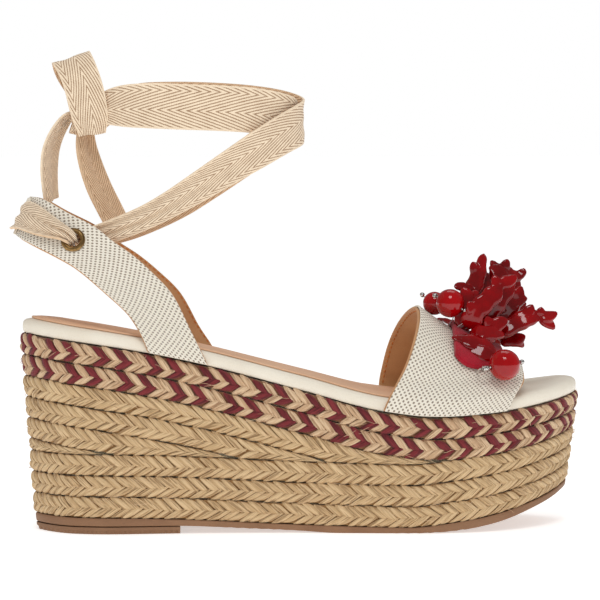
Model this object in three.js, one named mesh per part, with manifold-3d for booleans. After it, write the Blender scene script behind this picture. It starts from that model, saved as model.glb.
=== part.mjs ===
// Right wedge sandal: a foam wedge wrapped in braided jute, a padded footbed, a woven forefoot band
// with a coral ornament, a sling round the heel, and a tape tied in a bow round the ankle.
// Millimetres. +X points to the toe, -Y to the outer side of the foot, +Z up.
import * as THREE from "three";
import { ConvexGeometry } from "three/addons/geometries/ConvexGeometry.js";
import { mergeVertices } from "three/addons/utils/BufferGeometryUtils.js";
import Module from "manifold-3d";

const wasm = await Module();
wasm.setup();

// ---- Driving dimensions ----
const GAP = 0.3; // between neighbouring pieces
const COURSE = 9.1; // height of one braided course
const BRAID_DEPTH = 4.2; // from its face to its back
const RIM = 6.3; // the footbed's edge, above the top course
const RIM_INSET = 1.7; // the rim stands this far inside the braid's face
const COVER = 1.1; // thickness of the footbed's cover
const STRAP = { near: 0.15, far: 1.2 }; // a strap layer's faces, from the strap's middle surface
const EYELET = { hole: 3.0, barrel: 3.45, flange: 5.2, x: 0.66 }; // radii, and its place on the sling
const STATIONS = 40; // round the sole
const HEEL_FRONT = -55; // the heel lift's front edge

const v3 = (x, y, z) => new THREE.Vector3(x, y, z);
const mix = (a, b, t) => a + (b - a) * t;
const clamp01 = (t) => Math.min(1, Math.max(0, t));

// ---- Heights along the sole, as smooth monotone curves through [x, z] ----
function heights(points) {
  const slope = points.slice(1).map(([x, z], i) => (z - points[i][1]) / (x - points[i][0]));
  const tangent = points.map((_, i) => {
    const [a, b] = [slope[i - 1] ?? slope[i], slope[i] ?? slope[i - 1]];
    return a * b > 0 ? (2 * a * b) / (a + b) : 0;
  });
  return (x) => {
    let i = points.findIndex(([px]) => px > x);
    i = i < 0 ? points.length - 2 : Math.max(0, i - 1);
    const w = points[i + 1][0] - points[i][0];
    const t = clamp01((x - points[i][0]) / w);
    const [z0, z1] = [points[i][1], points[i + 1][1]];
    return z0 * (1 + 2 * t) * (1 - t) ** 2 + z1 * t * t * (3 - 2 * t)
      + w * (tangent[i] * t * (1 - t) ** 2 - tangent[i + 1] * t * t * (1 - t));
  };
}
const wedgeTop = heights([[-122.5, 85.5], [-80, 79.6], [-44, 72.2], [-4, 61.5], [32, 52.2],
  [54, 49.9], [83, 51.6], [126, 57.5]]);
const wedgeBase = heights([[-122.5, 7.4], [-83, 7.1], [-55, 6.3], [-4, 3.7], [42, 2.6],
  [63, 4.6], [82, 7.5], [105, 13], [126, 18.6]]);
const tread = heights([[-122.5, 3.6], [-57, 3.4], [-25, 1.9], [-4, 0.9], [12, 0], [46, 0],
  [63, 0.9], [82, 3.7], [105, 9.9], [126, 15.9]]);
const course = (x) => Math.min(COURSE, (wedgeTop(x) - wedgeBase(x)) / 5);

// ---- The sole's plan at the rim, from the heel along the outer side to the toe and back ----
const PLAN = new THREE.CatmullRomCurve3(
  [[-122.5, 0], [-110, -22], [-92, -30], [-50, -31], [-10, -33], [20, -38], [50, -42.5], [75, -41],
    [95, -33], [112, -19.6], [122, -4.6], [126, 10], [122.2, 23.5], [109.8, 33.6], [85, 41], [60, 42],
    [30, 38], [0, 30], [-30, 25.5], [-60, 26.5], [-92, 29.5], [-110, 22]]
    .map(([x, y]) => v3(x, y, 0)), true, "centripetal");
PLAN.arcLengthDivisions = 800;

// The wedge narrows to its base: more at the heel and at the toe than at its sides.
const lean = (x) => 3 + 3 * clamp01((-x - 85) / 35) ** 2 + 2 * clamp01((x - 85) / 35) ** 2;

// A place round the sole: t from 0 to 1, `inset` from the braid's face, and a height.
function wall(t, inset, z) {
  const u = ((t % 1) + 1) % 1;
  const at = PLAN.getPointAt(u);
  const dir = PLAN.getTangentAt(u);
  const down = 1 - clamp01((z - wedgeBase(at.x)) / (wedgeTop(at.x) - wedgeBase(at.x)));
  const by = inset + lean(at.x) * down;
  return v3(at.x - dir.y * by, at.y + dir.x * by, z);
}
// The plan's half width at x on one side, sign -1 for the outer side.
const EDGE = PLAN.getSpacedPoints(600);
function planEdge(x, sign) {
  const side = EDGE.filter((p) => p.y * sign > 0);
  const i = side.findIndex((p, k) => k && (p.x - x) * (side[k - 1].x - x) <= 0);
  const [a, b] = [side[i - 1], side[i]];
  return mix(a.y, b.y, (x - a.x) / (b.x - a.x));
}

// A strap's point moved onto the footbed's edge low down, where the strap is pasted against it.
function hug(p) {
  const low = clamp01((wedgeTop(p.x) + RIM + 8 - p.z) / 7);
  if (low) p.y = mix(p.y, planEdge(p.x, Math.sign(p.y)) * 1.003, low);
  return p;
}
const planX = (t) => PLAN.getPointAt(((t % 1) + 1) % 1).x;
const around = Array.from({ length: STATIONS }, (_, i) => i / STATIONS);

// ---- Solids from rings of points ----
// Triangles across a ring, in zigzag between its two sides; a pointed ring starts with one corner.
function across(n, pointed) {
  const faces = pointed ? [[0, 1, n - 1]] : [];
  let [l, r] = [pointed ? 1 : 0, n - 1];
  for (; r - l > 2; l++, r--) faces.push([l, l + 1, r - 1], [l, r - 1, r]);
  if (r - l === 2) faces.push([l, l + 1, r]);
  return faces;
}

function facingOut(points, faces) {
  const p = (i) => points[i];
  const volume = faces.reduce((sum, [a, b, c]) => sum + p(a).dot(p(b).clone().cross(p(c))), 0);
  const geometry = new THREE.BufferGeometry().setFromPoints(points);
  geometry.setIndex(faces.flatMap(([a, b, c]) => (volume > 0 ? [a, b, c] : [a, c, b])));
  return geometry;
}

// Rings joined in order; closed joins the last one to the first, otherwise both ends are capped.
function skin(rings, { closed = false, pointed = false } = {}) {
  const n = rings[0].length;
  const at = (i, j) => (i % rings.length) * n + (j % n);
  const faces = [];
  for (let i = 0; i < rings.length - (closed ? 0 : 1); i++)
    for (let j = 0; j < n; j++) {
      const [a, b, c, d] = [at(i, j), at(i, j + 1), at(i + 1, j + 1), at(i + 1, j)];
      // The ring's two halves are split along the same diagonal, so that neighbours stay parallel.
      faces.push(...(j < n / 2 ? [[a, b, c], [a, c, d]] : [[a, b, d], [b, c, d]]));
    }
  const last = (rings.length - 1) * n;
  if (!closed)
    for (const [a, b, c] of across(n, pointed))
      faces.push([c, b, a], [last + a, last + b, last + c]);
  return facingOut(rings.flat(), faces);
}

// A sheet of material on a grid of points, between two distances from it along its outward side.
function shell(grid, from, to) {
  const normal = (i, j) => {
    const step = (a, b) => b.clone().sub(a);
    const du = step(grid[Math.max(0, i - 1)][j], grid[Math.min(grid.length - 1, i + 1)][j]);
    const dv = step(grid[i][Math.max(0, j - 1)], grid[i][Math.min(grid[i].length - 1, j + 1)]);
    return dv.cross(du).normalize();
  };
  const face = (i, by) => grid[i].map((p, j) => p.clone().addScaledVector(normal(i, j), by));
  return skin(grid.map((_, i) => [...face(i, to), ...face(i, from).reverse()]));
}

// A turned piece on an axis: profile of [radius, distance along the axis], closed.
function turned(profile, centre, axis, segments) {
  const turn = new THREE.Quaternion().setFromUnitVectors(v3(0, 0, 1), axis.clone().normalize());
  const rings = Array.from({ length: segments }, (_, k) => {
    const a = (2 * Math.PI * k) / segments;
    return profile.map(([r, z]) =>
      v3(r * Math.cos(a), r * Math.sin(a), z).applyQuaternion(turn).add(centre));
  });
  return skin(rings, { closed: true });
}

// ---- Booleans ----
function toManifold(geometry) {
  const clean = geometry.clone();
  for (const name of ["normal", "uv"]) clean.deleteAttribute(name);
  const merged = mergeVertices(clean, 1e-4);
  return new wasm.Manifold(new wasm.Mesh({
    numProp: 3,
    vertProperties: new Float32Array(merged.attributes.position.array),
    triVerts: new Uint32Array(merged.index.array),
  }));
}

function fromManifold(solid) {
  const mesh = solid.getMesh();
  const geometry = new THREE.BufferGeometry();
  geometry.setAttribute("position", new THREE.BufferAttribute(mesh.vertProperties, 3));
  geometry.setIndex(new THREE.BufferAttribute(mesh.triVerts, 1));
  return geometry;
}
const largest = (solid) => solid.decompose().sort((a, b) => b.volume() - a.volume())[0];

// ---- Materials and the assembly ----
const paint = (color, roughness, metalness = 0) =>
  new THREE.MeshStandardMaterial({ color, roughness, metalness });
const FINISH = {
  rubber: paint(0x9a7355, 0.8),
  foam: paint(0xe4ddcf, 0.9),
  board: paint(0xb59a76, 0.9),
  jute: paint(0xc9a878, 0.9),
  juteTwoTone: paint(0xa9806a, 0.9),
  cream: paint(0xefe9dc, 0.6),
  tan: paint(0xd9a47c, 0.6),
  canvas: paint(0xe3dacb, 0.85),
  tape: paint(0xe6d3b6, 0.85),
  brass: paint(0x8a7a4a, 0.4, 1),
  coral: paint(0xb00018, 0.15),
  felt: paint(0x8c0c26, 0.8),
  bead: paint(0xc00010, 0.1),
  silver: paint(0xc8c8c8, 0.25, 1),
};
const sandal = new THREE.Group();
sandal.name = "wedge_sandal";
function add(name, geometry, material) {
  geometry.computeVertexNormals();
  const mesh = new THREE.Mesh(geometry, material);
  mesh.name = name;
  sandal.add(mesh);
}

// ---- Sole unit ----
const ring = (inset, z, ts = around) => ts.map((t) => wall(t, inset, z(planX(t))));
const over = (profile, by) => (x) => profile(x) + by;

// The part of the sole behind x, as places round it: the heel's middle, the outer side, the inner one.
function behind(x, count) {
  const find = (sign) => {
    let t = 0;
    while (planX(sign * t) < x) t += 0.0005;
    return sign * t;
  };
  const side = (end) => Array.from({ length: count }, (_, i) => (end * (i + 1)) / count);
  return [0, ...side(find(1)), ...side(find(-1)).reverse()];
}

function soleUnit() {
  const heel = behind(HEEL_FRONT, 8);
  add("heel_lift", skin([ring(1.2, () => 3.1, heel), ring(1.5, () => 0, heel)], { pointed: true }),
    FINISH.rubber);
  add("outsole", skin([ring(0.7, over(wedgeBase, -0.15)), ring(1.1, tread)], { pointed: true }),
    FINISH.rubber);
  const back = BRAID_DEPTH + 3 * GAP;
  add("wedge_core", skin([ring(back, over(wedgeTop, -GAP)), ring(back, over(wedgeBase, 0.15))],
    { pointed: true }), FINISH.foam);
}

// One braid's cross-section at a place round the sole, between two heights.
function braidSection(t, low, high) {
  const bevel = (high - low) * 0.22;
  return [[BRAID_DEPTH, low], [1.1, low], [0.1, low + bevel], [0.1, high - bevel], [1.1, high],
    [BRAID_DEPTH, high]].map(([inset, z]) => wall(t, inset, z));
}
const sections = (ts, low, high) =>
  ts.map((t) => braidSection(t, low(planX(t)) + GAP / 2, high(planX(t)) - GAP / 2));

function braids() {
  // Two two-coloured courses hang from the rim, three natural ones follow the outsole.
  const fromTop = (k) => (x) => wedgeTop(x) - k * course(x);
  const fromBase = (k) => (x) => wedgeBase(x) + k * course(x);
  const whole = (low, high) => skin(sections(around, low, high), { closed: true });
  add("braid_two_tone_upper", whole(fromTop(1), fromTop(0)), FINISH.juteTwoTone);
  add("braid_two_tone_lower", whole(fromTop(2), fromTop(1)), FINISH.juteTwoTone);
  for (const k of [0, 1, 2])
    add(`braid_natural_${7 - k}`, whole(fromBase(k), fromBase(k + 1)), FINISH.jute);
  // Four more fill the wedge between them, each round the heel until the space under it runs out.
  const LEAST = 1.6;
  for (const k of [2, 3, 4, 5]) {
    const room = (t) => fromTop(k)(planX(t)) - fromBase(3)(planX(t));
    const end = (sign) => {
      let t = 0;
      while (t < 0.5 && room(sign * (t + 0.0005)) > LEAST) t += 0.0005;
      return sign * t;
    };
    const [outer, inner] = [end(1), end(-1)];
    const steps = around.concat(around.map((t) => t - 1))
      .filter((t) => t > inner + 0.006 && t < outer - 0.006).sort((a, b) => a - b);
    const low = (x) => Math.max(fromTop(k + 1)(x), fromBase(3)(x));
    add(`braid_natural_${k - 1}`, skin(sections([inner, ...steps, outer], low, fromTop(k))),
      FINISH.jute);
  }
}

// ---- Footbed ----
function footbed() {
  const inside = RIM_INSET + COVER + GAP;
  const slab = (inset, low, high, ts = around) =>
    skin([ring(inset, over(wedgeTop, high), ts), ring(inset, over(wedgeTop, low), ts)],
      { pointed: true });
  add("insole_board", slab(inside, 0.3, 1.8), FINISH.board);
  add("cushion_foam", slab(inside, 2.1, RIM - COVER - GAP), FINISH.foam);
  const outer = (inset, z) => ring(inset, over(wedgeTop, z));
  add("footbed_cover", skin([outer(RIM_INSET + 1.2, RIM), outer(RIM_INSET, RIM - 0.8),
    outer(RIM_INSET, GAP), outer(RIM_INSET + COVER, GAP), outer(RIM_INSET + COVER, RIM - COVER)],
    { pointed: true }), FINISH.cream);
  add("sock_lining", slab(RIM_INSET + 3.6, RIM + GAP, RIM + GAP + 0.8, behind(70, 15)), FINISH.tan);
}

// ---- Straps ----
const curve = (points) => new THREE.CatmullRomCurve3(points.map((p) => v3(...p)), false, "centripetal");
const even = (n) => Array.from({ length: n + 1 }, (_, i) => i / n);

const BAND_BACK = curve([[31.4, -39.9, 52.6], [34.6, -40.4, 60], [41, -38.3, 71.3], [46.3, -31, 82.9],
  [50.3, -17, 91.6], [51.5, -2, 95.4], [49.9, 12, 93], [47, 24, 86.2], [44.4, 32.7, 77.1],
  [42.3, 38.4, 66], [41.1, 40, 58.5], [41, 40, 51]]);
const BAND_FRONT = curve([[84.9, -38.2, 52.1], [88.2, -36.6, 58.5], [91.8, -33.5, 63], [93.9, -28, 66.5],
  [94.9, -20, 69.6], [95.4, -8, 71.6], [95.3, 5, 71.8], [94.6, 17, 70.5], [93.2, 28, 67.2],
  [91.2, 35.6, 62.6], [88.2, 39.9, 58.2], [85, 40.9, 52.1]]);

// The band's middle surface: u from the outer side over the foot to the inner side, v from its back
// edge to its front edge. It dips a little between its edges.
function bandAt(u, v) {
  const dip = 4 * v * (1 - v) * (2 + Math.sin(Math.PI * u) ** 4 - 0.4);
  return hug(BAND_BACK.getPointAt(u).lerp(BAND_FRONT.getPointAt(u), v).add(v3(0, 0, -dip)));
}

// The sling's edges from the sole, up and back to the middle of the heel.
const SLING_LOW = [[-68.7, -30.9, 77.8], [-71.8, -30.9, 85.5], [-76.9, -30.4, 94], [-86.4, -29.5, 103.2],
  [-99.3, -28, 114.2], [-107.3, -26, 119], [-115.2, -21, 123], [-121.8, -11, 126.4], [-123.4, -0.2, 127.8]];
const SLING_HIGH = [[-43.7, -31, 72.7], [-47.3, -31.1, 80.5], [-50.6, -30.6, 87], [-58.6, -29.2, 103],
  [-66.7, -28.3, 112], [-74.7, -27.4, 119.3], [-82.8, -26.3, 125.1], [-90.9, -24.8, 131.6],
  [-102.9, -20.6, 138], [-111.1, -13.5, 142.8], [-116.8, -0.2, 144.2]];
const SLING_STEPS = [0, 0.09, 0.18, 0.27, 0.36, 0.45, 0.53, 0.6, 0.72, 0.79, 0.86, 0.93, 1];
const SLING = { lateral: [curve(SLING_LOW), curve(SLING_HIGH)] };
// The inner side starts further forward on the sole and stands closer to the foot.
const inward = (points) => curve(points.map(([x, y, z], i) => {
  const back = i / (points.length - 1);
  return [x + 11.5 * (1 - back), -y * (0.84 + 0.16 * back), z - 2.7 * (1 - back)];
}));
SLING.medial = [inward(SLING_LOW), inward(SLING_HIGH)];
const onSling = (side, f, w) =>
  hug(SLING[side][0].getPointAt(f).lerp(SLING[side][1].getPointAt(f), w));

// At a place on the sling: the point, the way along it to the heel, across it and outward.
function slingFrame(side, f) {
  const [a, b] = SLING_STEPS.filter((s) => Math.abs(s - f) < 0.1 && s !== f).slice(0, 2);
  const along = onSling(side, b ?? f + 0.05, 0.5).sub(onSling(side, a ?? f - 0.05, 0.5)).normalize();
  const up = onSling(side, f, 1).sub(onSling(side, f, 0)).normalize();
  const out = up.clone().cross(along).normalize();
  if (out.y * onSling(side, f, 0.5).y < 0) out.negate();
  return { at: onSling(side, f, 0.5), along, up, out };
}

// Space that the straps leave free: the top braid, the footbed's edge and the seam at the heel.
function soleSpace() {
  const block = (inset, low, high) => toManifold(
    skin([ring(inset, over(wedgeTop, high)), ring(inset, over(wedgeTop, low))], { pointed: true }));
  const seam = new THREE.BoxGeometry(60, GAP, 60).translate(-120, 0, 136);
  return block(-6, -12, GAP).add(block(RIM_INSET - GAP, 0, RIM + GAP)).add(toManifold(seam));
}

// The bore through a strap, and the seat pressed into one of its faces from `at` outward.
function eyeletSpace(side, seat) {
  const { at, out } = slingFrame(side, EYELET.x);
  const rod = (radius, from, to) =>
    new THREE.CylinderGeometry(radius, radius, to - from, 16).translate(0, (from + to) / 2, 0);
  return [rod(EYELET.barrel + GAP, -6, 6), rod(EYELET.flange + GAP, ...seat)]
    .map((g) => toManifold(g
      .applyQuaternion(new THREE.Quaternion().setFromUnitVectors(v3(0, 1, 0), out))
      .translate(at.x, at.y, at.z)))
    .reduce((a, b) => a.add(b));
}

function eyelet(side) {
  const { hole, barrel, flange } = EYELET;
  const { at, out } = slingFrame(side, EYELET.x);
  const [inner, face] = [-STRAP.far - GAP, STRAP.far + GAP];
  add(`eyelet_${side}`, turned([[hole, inner - 0.8], [barrel, inner - 0.8], [barrel, face],
    [flange, face], [flange, face + 0.4], [barrel + 0.5, face + 0.9], [hole, face + 0.9]],
  at, out, 16), FINISH.brass);
  add(`eyelet_washer_${side}`, turned([[barrel + 0.25, inner - 0.7], [flange - 0.2, inner - 0.7],
    [flange - 0.2, inner], [barrel + 0.25, inner]], at, out, 16), FINISH.brass);
}

function straps() {
  const space = soleSpace();
  const cut = (layer, ...tools) => fromManifold(largest(
    tools.reduce((solid, tool) => solid.subtract(tool), toManifold(layer))));
  const grid = even(18).map((u) => even(3).map((v) => bandAt(u, v)));
  add("band_outer", cut(shell(grid, STRAP.near, STRAP.far), space), FINISH.canvas);
  add("band_lining", cut(shell(grid, -STRAP.far, -STRAP.near), space), FINISH.tan);
  for (const side of ["lateral", "medial"]) {
    const rows = SLING_STEPS.map((f) => [onSling(side, f, 0), onSling(side, f, 1)]);
    if (side === "medial") rows.forEach((row) => row.reverse());
    add(`quarter_${side}`, cut(shell(rows, STRAP.near, STRAP.far), space,
      eyeletSpace(side, [STRAP.far, 6])), FINISH.canvas);
    add(`quarter_lining_${side}`, cut(shell(rows, -STRAP.far, -STRAP.near), space,
      eyeletSpace(side, [-6, -STRAP.far])), FINISH.tan);
    eyelet(side);
  }
}

// ---- Tape ----
// A run of tape: stops of {at, out, wide, thick}, its flat side facing `out`.
function tape(stops) {
  return skin(stops.map(({ at, out, wide, thick }, i) => {
    const ahead = stops[Math.min(i + 1, stops.length - 1)].at.clone()
      .sub(stops[Math.max(i - 1, 0)].at).normalize();
    const face = out.clone().addScaledVector(ahead, -out.dot(ahead)).normalize();
    const across = face.clone().cross(ahead);
    return [[1, 1], [1, -1], [-1, -1], [-1, 1]].map(([w, n]) => at.clone()
      .addScaledVector(across, (w * wide) / 2).addScaledVector(face, (n * thick) / 2));
  }));
}

// Out through one eyelet, round the outside of the heel, in through the other.
function heelWrap() {
  const half = (side) => {
    const hole = slingFrame(side, EYELET.x);
    const from = (off, along) => hole.at.clone().addScaledVector(hole.out, off)
      .addScaledVector(hole.along, along);
    const stop = (at, out, wide, thick) => ({ at, out, wide, thick });
    const back = hole.along.clone().negate();
    const onStrap = (f, off, wide, thick) => {
      const s = slingFrame(side, f);
      return stop(s.at.addScaledVector(s.out, off), s.out, wide, thick);
    };
    return [stop(from(-2.6, 0), back, 3.6, 2.8), stop(from(2.2, 0), back, 3.6, 2.8),
      stop(from(3.9, 0.9), hole.out.clone().add(back), 4.4, 2.4),
      stop(from(4.1, 5), hole.out, 7, 1.8), onStrap(0.79, 3.1, 10, 1.4), onStrap(0.86, 2.6, 12, 1.2),
      onStrap(0.93, 2.5, 13, 1.2)];
  };
  const middle = { at: v3(-122.8, 0, 136), out: v3(-1, 0, 0.35), wide: 13, thick: 1.2 };
  return tape([...half("lateral"), middle, ...half("medial").reverse()]);
}

// The ankle's middle in plan; a tape's flat side faces away from it.
const ANKLE = v3(-44, 0, 0);
function run(rows) {
  return tape(rows.map(([x, y, z, wide, thick = 1.2]) => {
    const out = v3((x - ANKLE.x) / 3.2, y, 0).normalize();
    return { at: v3(x, y, z), out, wide, thick };
  }));
}

const TIE_LATERAL = [[-99.4, -20.4, 126.4, 3.6, 2.4], [-94, -20.2, 127.4, 7, 1.6], [-87, -21, 129, 9, 1.6],
  [-78, -22, 132.2, 9.5, 1.6], [-68, -23, 136.6, 10, 1.6], [-58, -23.9, 142, 11, 1.4],
  [-47, -24.8, 148.7, 12.5], [-35, -24.6, 156.2, 14], [-21.4, -21.8, 164.4, 16],
  [-9.4, -16.2, 171.2, 17], [-1.5, -8.7, 175.2, 18], [1.2, 0, 177.4, 18], [-1.5, 8.7, 179.4, 18.5],
  [-9.4, 16.2, 181.6, 19], [-21.4, 21.8, 183.2, 19.5], [-36, 24.7, 184.2, 19.5],
  [-52, 24.7, 184.6, 19.5], [-66.5, 21.8, 184.4, 19], [-77, 15.6, 183.4, 16],
  [-82.6, 9.4, 182, 12], [-84.4, 5.4, 181, 9]];
const TIE_MEDIAL = [[-95.6, 19, 125.6, 3.6, 2.4], [-90, 18.8, 126, 7, 1.6], [-83, 19.4, 127, 9, 1.6],
  [-74, 20.4, 129.2, 9.5, 1.6], [-62, 21.6, 134, 10, 1.4], [-50, 22.2, 140.8, 12],
  [-36.8, 21.9, 150, 13.5], [-23.2, 19.2, 160, 15], [-11.8, 14.2, 168, 16.5],
  [-4.4, 7.6, 172.6, 17.5], [-1.7, 0, 175.6, 18], [-4.4, -7.6, 178, 18.5], [-11.8, -14.2, 180, 19],
  [-23.2, -19.2, 181.6, 19.5], [-37.2, -21.9, 182.5, 19.5], [-51.6, -22.2, 183, 19.5],
  [-66, -19.9, 183.5, 19.5], [-76.6, -14.6, 183.5, 16], [-82.2, -9, 183, 12],
  [-84.2, -5.4, 182.6, 9]];

// A piece of tape in the bow: rows of [x, y, z, wide] and the way its width points.
function bowPiece(rows, widthWay) {
  return tape(rows.map(([x, y, z, wide], i) => {
    const [a, b] = [rows[Math.max(i - 1, 0)], rows[Math.min(i + 1, rows.length - 1)]];
    const ahead = v3(b[0] - a[0], b[1] - a[1], b[2] - a[2]);
    return { at: v3(x, y, z), out: v3(...widthWay).cross(ahead), wide, thick: 1.2 };
  }));
}

function knot() {
  const centre = v3(-92.5, 0, 178.5);
  const rows = [[-1, 0.45], [-0.75, 0.85], [-0.2, 1], [0.35, 0.95], [0.8, 0.75], [1, 0.4]];
  return skin(rows.map(([z, r]) => Array.from({ length: 10 }, (_, k) => {
    const a = (2 * Math.PI * (k + 0.5)) / 10;
    return v3(7.2 * r * Math.cos(a), 5.6 * r * Math.sin(a), 7 * z).add(centre);
  })));
}

function ankleTie() {
  add("tape_heel_wrap", heelWrap(), FINISH.tape);
  add("tape_lateral_run", run(TIE_LATERAL), FINISH.tape);
  add("tape_medial_run", run(TIE_MEDIAL), FINISH.tape);
  add("tape_knot", knot(), FINISH.tape);
  add("tape_bow_loop", bowPiece([[-92.5, -2.6, 186.4, 9], [-93.6, -6.2, 192, 14], [-95.4, -7, 199, 18],
    [-96.6, -3.6, 204, 19], [-97, 1.6, 204.6, 19], [-96.8, 6, 200.5, 18], [-95, 6.2, 193, 14],
    [-93, 2.6, 186.4, 9]], [0.94, 0, 0.34]), FINISH.tape);
  add("tape_tail_back", bowPiece([[-100.4, 0, 176.4, 6], [-105.4, -0.6, 174, 11], [-109.2, -1, 168.4, 15],
    [-110.2, -1, 160, 17], [-109.2, -0.8, 150.6, 17], [-107.2, -0.5, 141.6, 17]], [0.4, 0.92, 0]),
  FINISH.tape);
  add("tape_tail_front", bowPiece([[-93, 0, 170.6, 7], [-92.8, -0.6, 165, 12], [-91.2, -1.4, 157, 16],
    [-87.8, -2.2, 148, 17], [-83.8, -3, 140, 17], [-80.4, -3.6, 133.4, 17]], [0.5, 0.84, 0.2]),
  FINISH.tape);
}

// ---- Ornament ----
// Corals are flat antlers of tapering branches: rows of [x, y, z, radius], flat side facing `facing`.
const CORALS = [
  { facing: [-0.1, -0.95, 0.25], branches: [
    [[72.5, -13, 86.5, 4], [75.3, -15, 93.5, 3.6], [83.5, -14.5, 102, 3.4], [86, -13.5, 106.5, 2.6]],
    [[75.3, -15, 93.5, 3], [71.4, -16, 98.5, 1.4]], [[85, -14, 105, 2.2], [83.6, -13, 110.2, 1.2]],
    [[86, -13.5, 106.5, 2.4], [90, -13, 107, 2.2], [94.3, -12, 109.6, 1.3]]] },
  { facing: [-0.5, -0.8, 0.3], branches: [
    [[76, 0, 90, 3.6], [75, -2, 98, 3.4], [78.5, -1, 108, 3.2], [81.6, 0, 119, 1.3]],
    [[78.5, -1, 108, 2.4], [76.4, 0, 115.5, 1.4]],
    [[75, -2, 100, 3], [71.5, -3, 104.2, 2], [67.2, -5, 104.2, 1.2]]] },
  { facing: [0.2, -0.7, 0.65], branches: [
    [[86, 3, 90, 3.6], [94.6, 3, 101, 3.2], [93, 4, 109, 3.4], [87.5, 4, 112.5, 2.2], [84.8, 3, 115.6, 1.3]],
    [[91, 4, 111.5, 2.4], [93.2, 4, 116.3, 1.3]],
    [[94, 4, 108.5, 2.6], [98.5, 5, 109, 2], [101.2, 5, 112, 1.3]]] },
  { facing: [0.5, -0.5, 0.7], branches: [
    [[87, 8.6, 86.5, 3.2], [93.5, 9, 94, 3], [97, 9.6, 100, 2], [97.4, 9.6, 103.4, 1.3]],
    [[93.5, 9, 94, 2.6], [99, 9.4, 94.6, 2.2], [102.3, 9.6, 97.2, 1.3]]] },
  { facing: [0, -0.85, 0.5], branches: [
    [[83, -10, 84.2, 3.4], [91, -11, 87, 3.2], [98, -11.5, 90.5, 3.4], [104.6, -11, 91.4, 2.9]],
    [[98, -11.5, 91.5, 2.6], [101.6, -11, 97, 1.2]], [[104.6, -11, 91.4, 2.4], [105.2, -11, 96, 1.2]],
    [[104.6, -11, 91.4, 2.4], [108.5, -11, 91.5, 2], [112.7, -11, 93.3, 1.2]],
    [[104.6, -11, 91, 2.4], [109, -11, 88, 1.8], [111.5, -11, 85.6, 1.2]]] },
  { facing: [-0.25, -0.65, 0.7], branches: [
    [[79, -17, 83, 3], [72.5, -22.5, 82.4, 2.6], [67, -25, 82.8, 2], [62.6, -26, 83.4, 1.2]],
    [[72.5, -22.5, 82.4, 2.2], [70, -27, 79.6, 1.2]]] },
  { facing: [0.3, -0.8, 0.5], branches: [
    [[88, -3.4, 81.4, 2.8], [95, -4.4, 81, 2.8], [99.6, -5, 83, 1.3]],
    [[95, -4.4, 81, 2.4], [99, -5, 77.6, 1.4]]] },
  { facing: [0.3, -0.3, 0.9], branches: [[[81, -3, 86, 2.6], [83.3, -8, 92.6, 2.6]]] },
  { facing: [0, 0.85, 0.5], branches: [
    [[80, 10.5, 84, 3.4], [84, 15, 92, 3.2], [80, 17, 100, 1.4]],
    [[84, 15, 92, 2.8], [90, 17, 96, 2], [93, 18, 101, 1.3]]] },
  { facing: [-0.2, 0.7, 0.7], branches: [[[74, 8, 87, 3], [69, 16, 87.4, 2.4], [63.6, 21, 88.6, 1.3]]] },
];
const FLAT = 0.62; // a coral's thickness over its width

// A flattened ball as points for a hull, `more` larger all round.
function ball([x, y, z, r], facing, more) {
  const n = v3(...facing).normalize();
  const a = n.clone().cross(v3(0, 0, 1)).normalize();
  const b = n.clone().cross(a);
  const layers = [[0, 1, 8], [FLAT * 0.8, 0.62, 6], [-FLAT * 0.8, 0.62, 6]];
  return layers.flatMap(([h, w, count]) => Array.from({ length: count }, (_, k) => {
    const turn = (2 * Math.PI * k) / count;
    return v3(x, y, z).addScaledVector(n, h * (r + more))
      .addScaledVector(a, w * (r + more) * Math.cos(turn))
      .addScaledVector(b, w * (r + more) * Math.sin(turn));
  }));
}

function coral({ facing, branches }, more = 0) {
  const links = branches.flatMap((branch) => branch.slice(1).map((end, i) =>
    toManifold(new ConvexGeometry([...ball(branch[i], facing, more), ...ball(end, facing, more)]))));
  return wasm.Manifold.union(links);
}

const BEADS = [
  { at: [64.8, -10.5, 97.5], radius: 6.3, pin: [-0.78, 0.48, 0.41] },
  { at: [83.6, -39.8, 72.4], radius: 6.8, pin: [0.96, 0.25, 0.13] },
  { at: [60, 2.4, 96.8], radius: 5.2, pin: [-0.77, 0.33, 0.55] },
  { at: [92, 17, 83], radius: 6, pin: [0.55, 0.8, 0.1] },
];
const BORE = 0.75;
const WIRE = 0.42;

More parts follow.
